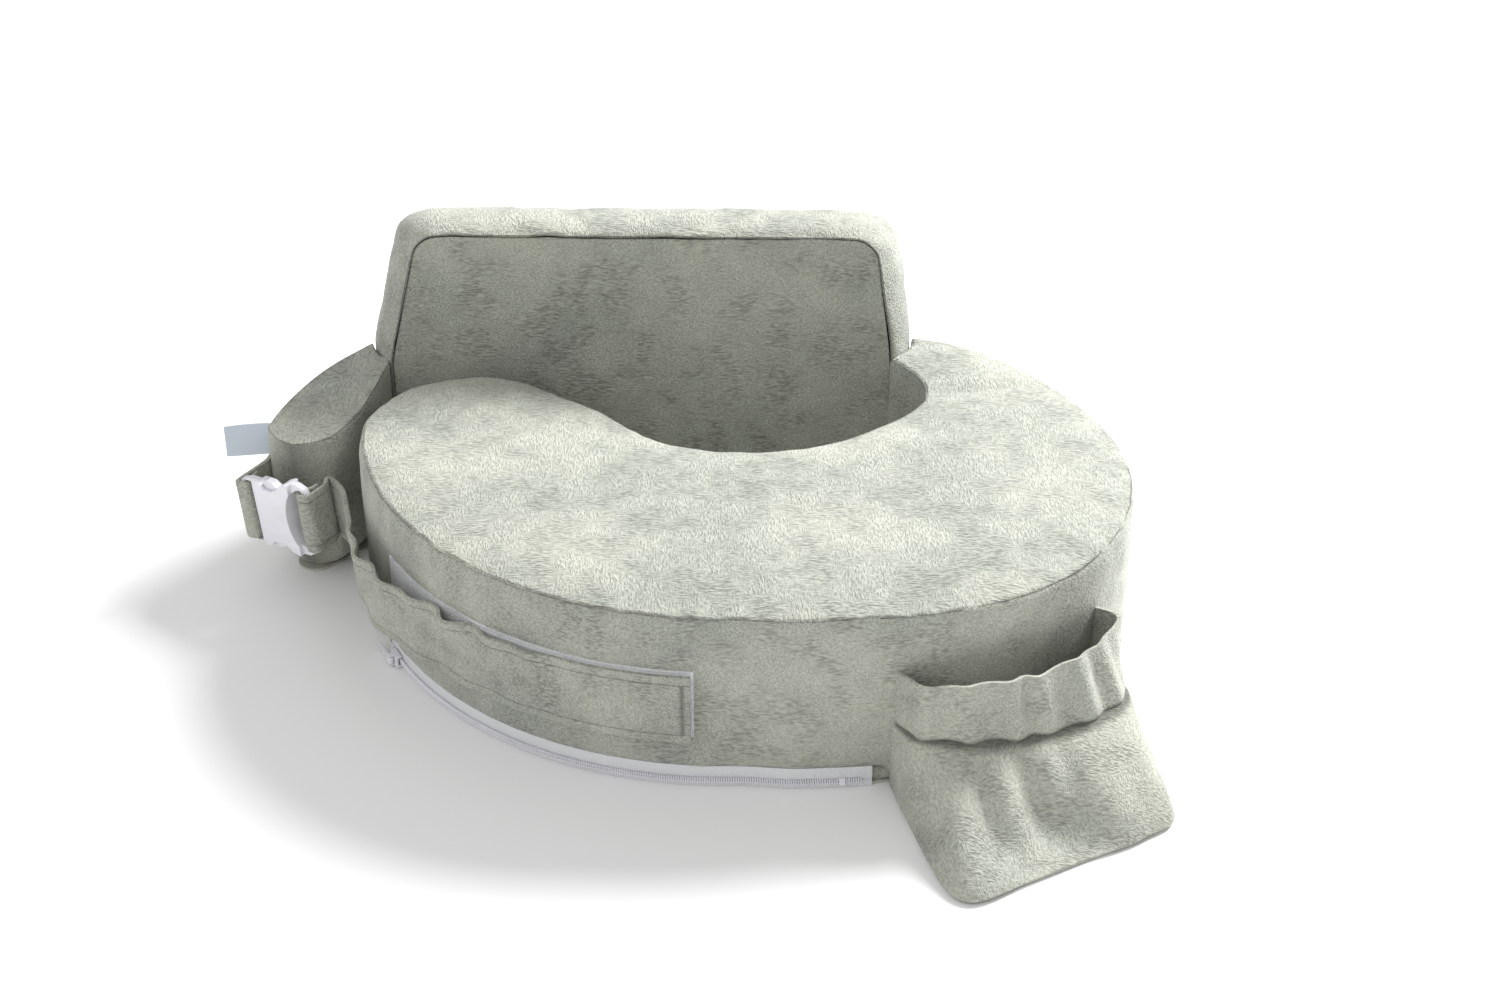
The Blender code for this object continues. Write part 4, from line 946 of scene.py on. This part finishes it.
def lay_strap():
    """The waist strap: topstitched border and a waving, loose upper edge."""
    path, ups, halves, ends = strap_route()
    walked = [0.0]
    for a, b in zip(path, path[1:]):
        walked.append(walked[-1] + (b - a).length)
    wave = sizes().strap_wave

    def place(i, share, side):
        s = walked[i]
        loose = min(1.0, max(0.0, (s - ends * 0.45) / 0.07))
        fade = 1.0 - min(1.0, max(0.0, (s - ends - 0.115) / 0.03))
        lift = loose * fade * wave * (0.6 + math.sin(s * 215 + 0.7) * 0.6
                                      + 0.3 * math.sin(s * 122 + 2.1))
        out = lift * max(0.0, share) ** 1.5 * 0.9
        out += loose * fade * 0.0012 * math.sin(s * 160 + 3 * share)
        groove = 1.0 if abs(abs(share) - STITCH) < 0.01 else 0.0
        end_line = 1.0 if abs(s - 0.0052) < 0.0012 and abs(share) < 0.78 else 0.0
        groove = max(groove, end_line)
        puff = 0.0006 * (1 - share ** 2) - 0.0005 * groove
        point = path[i] + ups[i] * (halves[i] * share) - side * (out + puff)
        point = point + ups[i] * (0.0006 * loose * fade * math.sin(s * 180) * (share > 0.9))
        # Painted shade: the stitch grooves and the end line darken the plush through a seam weight
        # of 0.75.
        return point, 0.75 * groove

    strap = strap_strip("waist_strap_band", path, ups, place, STRAP_ACROSS, STRAP_SHELL)
    return settle(strap, "pillow", "plush_sage", "waist_strap")


def lay_arm_strap():
    """The short strap from the arm round the tongue's bar."""
    bm = cad_copy("arm_strap")
    bmesh.ops.join_triangles(bm, faces=bm.faces, angle_face_threshold=math.radians(60),
                             angle_shape_threshold=math.radians(60))
    long = [e for e in bm.edges if e.calc_length() > 0.02]
    bmesh.ops.subdivide_edges(bm, edges=long, cuts=9, use_grid_fill=True)
    bm.verts.layers.float.new("seam")
    strap = new_piece("arm_strap_band", bm, "sage_plush_strap_shaded")
    round_off = strap.modifiers.new("edges", "BEVEL")
    round_off.width = 0.0006
    round_off.segments = 2
    round_off.limit_method = "ANGLE"
    round_off.angle_limit = EDGE_ANGLE
    refine(strap)
    settle(strap, "pillow", "plush_sage", "arm_strap")
    return strap


# ---- buckle ----
def mould(name, node, body, width=0.0005):
    """A moulded copy of a buckle part with rounded edges."""
    bm = cad_copy(node)
    bmesh.ops.dissolve_limit(bm, angle_limit=math.radians(1), verts=bm.verts, edges=bm.edges)
    piece = new_piece(name, bm, "buckle_plastic")
    round_off = piece.modifiers.new("edges", "BEVEL")
    round_off.width = width
    round_off.segments = 3
    round_off.limit_method = "ANGLE"
    round_off.angle_limit = math.radians(28)
    round_off.harden_normals = True
    return settle(piece, body, "buckle_white", node)


def mould_buckle():
    """Socket, tongue and the two prongs."""
    mould("buckle_socket_moulding", "buckle_socket", "pillow", 0.0007)
    mould("buckle_tongue_moulding", "buckle_tongue", "buckle_tongue")
    mould("prong_upper_moulding", "prong_upper", "prong_upper", 0.0004)
    mould("prong_lower_moulding", "prong_lower", "prong_lower", 0.0004)


# ---- zipper ----
def lay_zipper():
    """Coil teeth along the tape, and rounded metal parts."""
    bm = bmesh.new()
    path = resample(wall_path(ZIP_START + 1.6, ZIP_END - 1.6, 0.0009), TOOTH_PITCH)
    ways = tangents(path)
    for point, way in zip(path, ways):
        for side in (-1, 1):
            height = ZIP_LINE + side * 0.00085
            made = bmesh.ops.create_cube(bm, size=1.0)["verts"]
            turn = Matrix.Rotation(math.atan2(way.y, way.x), 4, "Z")
            tilt = Matrix.Rotation(math.radians(TOOTH_LEAN * side), 4, "Y")
            size = Matrix.Diagonal((*TOOTH, 1.0))
            spot = Matrix.Translation((point.x, point.y, height))
            bmesh.ops.transform(bm, matrix=spot @ turn @ tilt @ size, verts=made)
    bmesh.ops.bevel(bm, geom=bm.edges[:], offset=TOOTH_EDGE, segments=1, profile=0.5,
                    affect="EDGES", material=-1)
    coil = new_piece("zipper_coil_teeth", bm, "nylon_coil")
    settle(coil, "pillow", "zipper_coil_white", "zipper_coil")
    for name, node, body in (("slider_body", "zipper_slider", "zipper_slider"),
                             ("slider_tab", "zipper_pull", "zipper_pull")):
        copy = cad_copy(node)
        bmesh.ops.dissolve_limit(copy, angle_limit=math.radians(1), verts=copy.verts,
                                 edges=copy.edges)
        piece = new_piece(name, copy, "white_metal")
        round_off = piece.modifiers.new("edges", "BEVEL")
        round_off.width = 0.00018
        round_off.segments = 2
        round_off.limit_method = "ANGLE"
        round_off.harden_normals = True
        settle(piece, body, "zipper_metal_white", node)


# ---- pocket ----
def wall_seat(degrees):
    """A plan point just clear of the outer wall at a bearing."""
    line = wall_path(POCKET_LEFT - 8, POCKET_RIGHT + 8, 0.0006)
    return min(line, key=lambda p: abs(bearing(p) - degrees))


def pocket_line(points):
    """A pocket route in plan, evenly spaced."""
    ends = wall_seat(POCKET_LEFT), wall_seat(POCKET_RIGHT)
    return resample(curve([ends[0], *at_frame(points), ends[1]], 8), 0.0014)


def along(path, share):
    """The point at a share of a path's count."""
    place = share * (len(path) - 1)
    k = min(int(place), len(path) - 2)
    return path[k].lerp(path[k + 1], place - k)


def sew_pocket():
    """The pocket's body with its folds and the gathered hem round its rim."""
    foot, seam, rim = (pocket_line(p) for p in (POCKET_FOOT, POCKET_SEAM, POCKET_RIM))
    gathers = sizes().hem_gathers
    depth = sizes().fold_depth
    levels = BODY_LEVELS + HEM_LEVELS

    def route(share, height):
        if height <= POCKET_STITCH:
            t = height / POCKET_STITCH
            blend = t ** 1.25
            return along(foot, share).lerp(along(seam, share), blend)
        t = (height - POCKET_STITCH) / (POCKET_TOP - POCKET_STITCH)
        return along(seam, share).lerp(along(rim, share), min(1.0, t))

    def folds(share, height):
        inner = math.sin(math.pi * share) ** 0.7
        if height > POCKET_STITCH:
            t = (height - POCKET_STITCH) / (POCKET_TOP - POCKET_STITCH)
            phase = gathers * share + 0.35 * noise.noise(Vector((share * 7, 0, 2)))
            ripple = math.cos(2 * math.pi * phase)
            strength = 0.45 + 0.55 * math.sin(math.pi * min(1.0, t * 1.05))
            swing = 0.6 + 0.6 * abs(noise.noise(Vector((share * 5, 1, 7))))
            calm = 1.0 - 0.75 * max(0.0, (share - 0.62) / 0.38)
            return sizes().hem_pucker * ripple * strength * swing * inner * calm
        t = height / POCKET_STITCH
        total = 0.0
        for centre, drift, width, size in POCKET_FOLDS:
            at = centre + drift * (1 - t)
            spread = width * (0.55 + 0.8 * (1 - t))
            bell = math.exp(-((share - at) / spread) ** 2)
            total -= size * bell * (0.25 + 0.75 * math.sin(math.pi * min(1.0, 0.15 + 0.85 * t)))
        return depth * (total + 0.25) * inner * min(1.0, 2.2 * t + 0.05)

    bm = bmesh.new()
    bmesh.ops.create_grid(bm, x_segments=POCKET_COLUMNS, y_segments=len(levels) - 1, size=0.5)
    mark = bm.verts.layers.float.new("seam")
    for vert in bm.verts:
        share = vert.co.x + 0.5
        height = levels[round((vert.co.y + 0.5) * (len(levels) - 1))]
        here = route(share, height)
        ahead = route(min(1.0, share + 0.004), height) - route(max(0.0, share - 0.004), height)
        out = Vector((ahead.y, -ahead.x)).normalized()
        lift = min(1.0, max(0.0, (POCKET_STITCH - height) / 0.008))
        sway = folds(share, height)
        here = here + out * (sway * (1 - 0.55 * lift))
        # Painted shade: the stitch line gets a seam weight of 0.85, which darkens the plush in its
        # pinched groove.
        vert[mark] = 0.85 if abs(height - POCKET_STITCH) < 0.0008 else 0.0
        pinch = 0.0014 if vert[mark] else 0.0
        here = here - out * pinch
        droop = 0.0022 * noise.noise(Vector((share * 9, 4, 0))) * (height > 0.07)
        rise = max(height + droop + 0.85 * sway * lift, 0.0016)
        vert.co = Vector((here.x, here.y, rise))
    bmesh.ops.recalc_face_normals(bm, faces=bm.faces)
    piece = new_piece("pocket_cloth", bm, "sage_plush")
    shell = piece.modifiers.new("thickness", "SOLIDIFY")
    shell.thickness = POCKET_SHELL
    shell.offset = 0.0
    round_off = piece.modifiers.new("edges", "BEVEL")
    round_off.width = 0.0006
    round_off.segments = 2
    round_off.limit_method = "ANGLE"
    round_off.angle_limit = EDGE_ANGLE
    refine(piece)
    cut = sum((b - a).length for a, b in zip(foot, foot[1:])), POCKET_TOP
    return settle(piece, "pillow", "plush_sage", "pocket_body", "pocket_hem", "pocket_elastic")


def weave_tag():
    """The folded satin tag, with a slight curl."""
    low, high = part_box("woven_tag")
    bm = cad_copy("woven_tag")
    bmesh.ops.subdivide_edges(bm, edges=[e for e in bm.edges if e.calc_length() > 0.01],
                              cuts=14, use_grid_fill=True)
    for vert in bm.verts:
        out = (high.x - vert.co.x) / (high.x - low.x)
        vert.co.y += 0.0016 * math.sin(out * 3.0) * (vert.co.z - low.z) / (high.z - low.z)
    tag = new_piece("folded_tag", bm, "tag_satin")
    tag.data.shade_flat()
    return settle(tag, "pillow", "tag_satin", "woven_tag")


def finish_hidden_nodes():
    """Finishes of the CAD nodes that stay."""
    wanted = {"platform_foam": "foam", "zipper_tape_upper": "zipper_tape",
              "zipper_tape_lower": "zipper_tape", "zipper_top_stop": "white_metal",
              "zipper_bottom_stop": "white_metal", "loop_tape": "loop_pile",
              "hook_tape": "hook_pile"}
    for node, finish in wanted.items():
        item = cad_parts[node]
        for slot in item.material_slots:
            slot.material = finish_named(finish)


# ---- stage ----
def set_stage():
    """Pale floor, soft light from the right rear, and the camera."""
    bm = bmesh.new()
    bmesh.ops.create_grid(bm, x_segments=1, y_segments=1, size=6.0)
    floor = new_piece("studio_floor", bm)
    tree = Tree("studio_floor_paint")
    speck = tree.noise(tree.place(), 3.0, 2.0)
    tree.finish(tree.tint(colours().floor, tree.span(speck, 0.99, 1.01)), 0.9)
    floor.data.materials.append(tree.material)
    key = bpy.data.lights.new("key_light", "AREA")
    key.shape = "DISK"
    key.size = 0.9
    key.energy = KEY_POWER
    key_item = bpy.data.objects.new("key_light", key)
    key_item.location = KEY_PLACE
    aim(key_item, LIGHT_TARGET)
    fill = bpy.data.lights.new("fill_light", "AREA")
    fill.shape = "DISK"
    fill.size = 2.0
    fill.energy = FILL_POWER
    fill_item = bpy.data.objects.new("fill_light", fill)
    fill_item.location = FILL_PLACE
    aim(fill_item, LIGHT_TARGET)
    world = bpy.data.worlds.new("studio_world")
    world.use_nodes = True
    world.node_tree.nodes["Background"].inputs[0].default_value = (1.0, 1.0, 1.0, 1.0)
    world.node_tree.nodes["Background"].inputs[1].default_value = SKY_STRENGTH
    camera = bpy.data.cameras.new("studio_camera")
    camera.lens = 60.0
    camera.sensor_width = 36.0
    camera_item = bpy.data.objects.new("studio_camera", camera)
    camera_item.location = CAMERA_PLACE
    aim(camera_item, CAMERA_TARGET)
    scene = bpy.context.scene
    for item in (key_item, fill_item, camera_item):
        scene.collection.objects.link(item)
    scene.world = world
    scene.view_settings.view_transform = "Standard"
    scene.camera = camera_item


def aim(item, target):
    """Turn a light or camera to look at a point."""
    way = Vector(target) - item.location
    item.rotation_euler = way.to_track_quat("-Z", "Y").to_euler()


class PillowOperator:
    """What every build step shares."""
    bl_options = {"REGISTER", "UNDO"}
    steps = ()

    def execute(self, context):
        """Run the step's makers; a maker that can't finish raises."""
        for step in self.steps:
            step()
        return {"FINISHED"}


class NURSINGPILLOW_OT_stage(PillowOperator, Operator):
    """Set the floor, the lights and the camera"""
    bl_idname = "nursingpillow.stage"
    bl_label = "Stage"
    steps = (set_stage,)


class NURSINGPILLOW_OT_platform(PillowOperator, Operator):
    """Sew and inflate the platform's cover"""
    bl_idname = "nursingpillow.platform"
    bl_label = "Platform Cover"
    steps = (cover_platform,)


class NURSINGPILLOW_OT_backrest(PillowOperator, Operator):
    """Sew and inflate the backrest's cover"""
    bl_idname = "nursingpillow.backrest"
    bl_label = "Backrest Cover"
    steps = (cover_backrest,)


class NURSINGPILLOW_OT_arm(PillowOperator, Operator):
    """Sew and inflate the arm's cover"""
    bl_idname = "nursingpillow.arm"
    bl_label = "Arm Cover"
    steps = (cover_arm,)


class NURSINGPILLOW_OT_underside(PillowOperator, Operator):
    """Sew the underside and finish the inner pieces"""
    bl_idname = "nursingpillow.underside"
    bl_label = "Underside and Cores"
    steps = (cover_underside, shape_cores, finish_hidden_nodes)


class NURSINGPILLOW_OT_straps(PillowOperator, Operator):
    """Lay the waist strap and the arm strap"""
    bl_idname = "nursingpillow.straps"
    bl_label = "Straps"
    steps = (lay_strap, lay_arm_strap)


class NURSINGPILLOW_OT_buckle(PillowOperator, Operator):
    """Mould the buckle"""
    bl_idname = "nursingpillow.buckle"
    bl_label = "Buckle"
    steps = (mould_buckle,)


class NURSINGPILLOW_OT_zipper(PillowOperator, Operator):
    """Lay the zipper's coil and its slider"""
    bl_idname = "nursingpillow.zipper"
    bl_label = "Zipper"
    steps = (lay_zipper,)


class NURSINGPILLOW_OT_pocket(PillowOperator, Operator):
    """Sew the gathered pocket"""
    bl_idname = "nursingpillow.pocket"
    bl_label = "Pocket"
    steps = (sew_pocket,)


class NURSINGPILLOW_OT_tag(PillowOperator, Operator):
    """Weave the folded tag"""
    bl_idname = "nursingpillow.tag"
    bl_label = "Tag"
    steps = (weave_tag,)


OPERATORS = (NURSINGPILLOW_OT_stage, NURSINGPILLOW_OT_platform, NURSINGPILLOW_OT_backrest,
             NURSINGPILLOW_OT_arm, NURSINGPILLOW_OT_underside, NURSINGPILLOW_OT_straps,
             NURSINGPILLOW_OT_buckle, NURSINGPILLOW_OT_zipper, NURSINGPILLOW_OT_pocket,
             NURSINGPILLOW_OT_tag)


class NURSINGPILLOW_PT_panel(Panel):
    """Build steps and sizes of the nursing pillow"""
    bl_idname = "NURSINGPILLOW_PT_panel"
    bl_label = "Nursing Pillow"
    bl_space_type = "VIEW_3D"
    bl_region_type = "UI"
    bl_category = "Nursing Pillow"

    def draw(self, context):
        """List the steps, then the sizes and colours."""
        for step in OPERATORS:
            self.layout.operator(step.bl_idname)
        for group in (context.scene.nursing_pillow_sizes, context.scene.nursing_pillow_colours):
            for name in group.bl_rna.properties.keys():
                if name not in ("rna_type", "name"):
                    self.layout.prop(group, name)


CLASSES = (PillowSizes, PillowColours, *OPERATORS, NURSINGPILLOW_PT_panel)


def register():
    """Register the classes and the scene's settings."""
    for item in CLASSES:
        bpy.utils.register_class(item)
    bpy.types.Scene.nursing_pillow_sizes = PointerProperty(type=PillowSizes)
    bpy.types.Scene.nursing_pillow_colours = PointerProperty(type=PillowColours)


def unregister():
    """Undo register."""
    del bpy.types.Scene.nursing_pillow_colours
    del bpy.types.Scene.nursing_pillow_sizes
    for item in reversed(CLASSES):
        bpy.utils.unregister_class(item)


def main():
    """Build the pillow."""
    register()
    bpy.ops.nursingpillow.stage()
    bpy.ops.nursingpillow.platform()
    bpy.ops.nursingpillow.backrest()
    bpy.ops.nursingpillow.arm()
    bpy.ops.nursingpillow.underside()
    bpy.ops.nursingpillow.straps()
    bpy.ops.nursingpillow.buckle()
    bpy.ops.nursingpillow.zipper()
    bpy.ops.nursingpillow.pocket()
    bpy.ops.nursingpillow.tag()


if __name__ == "__main__":
    main()
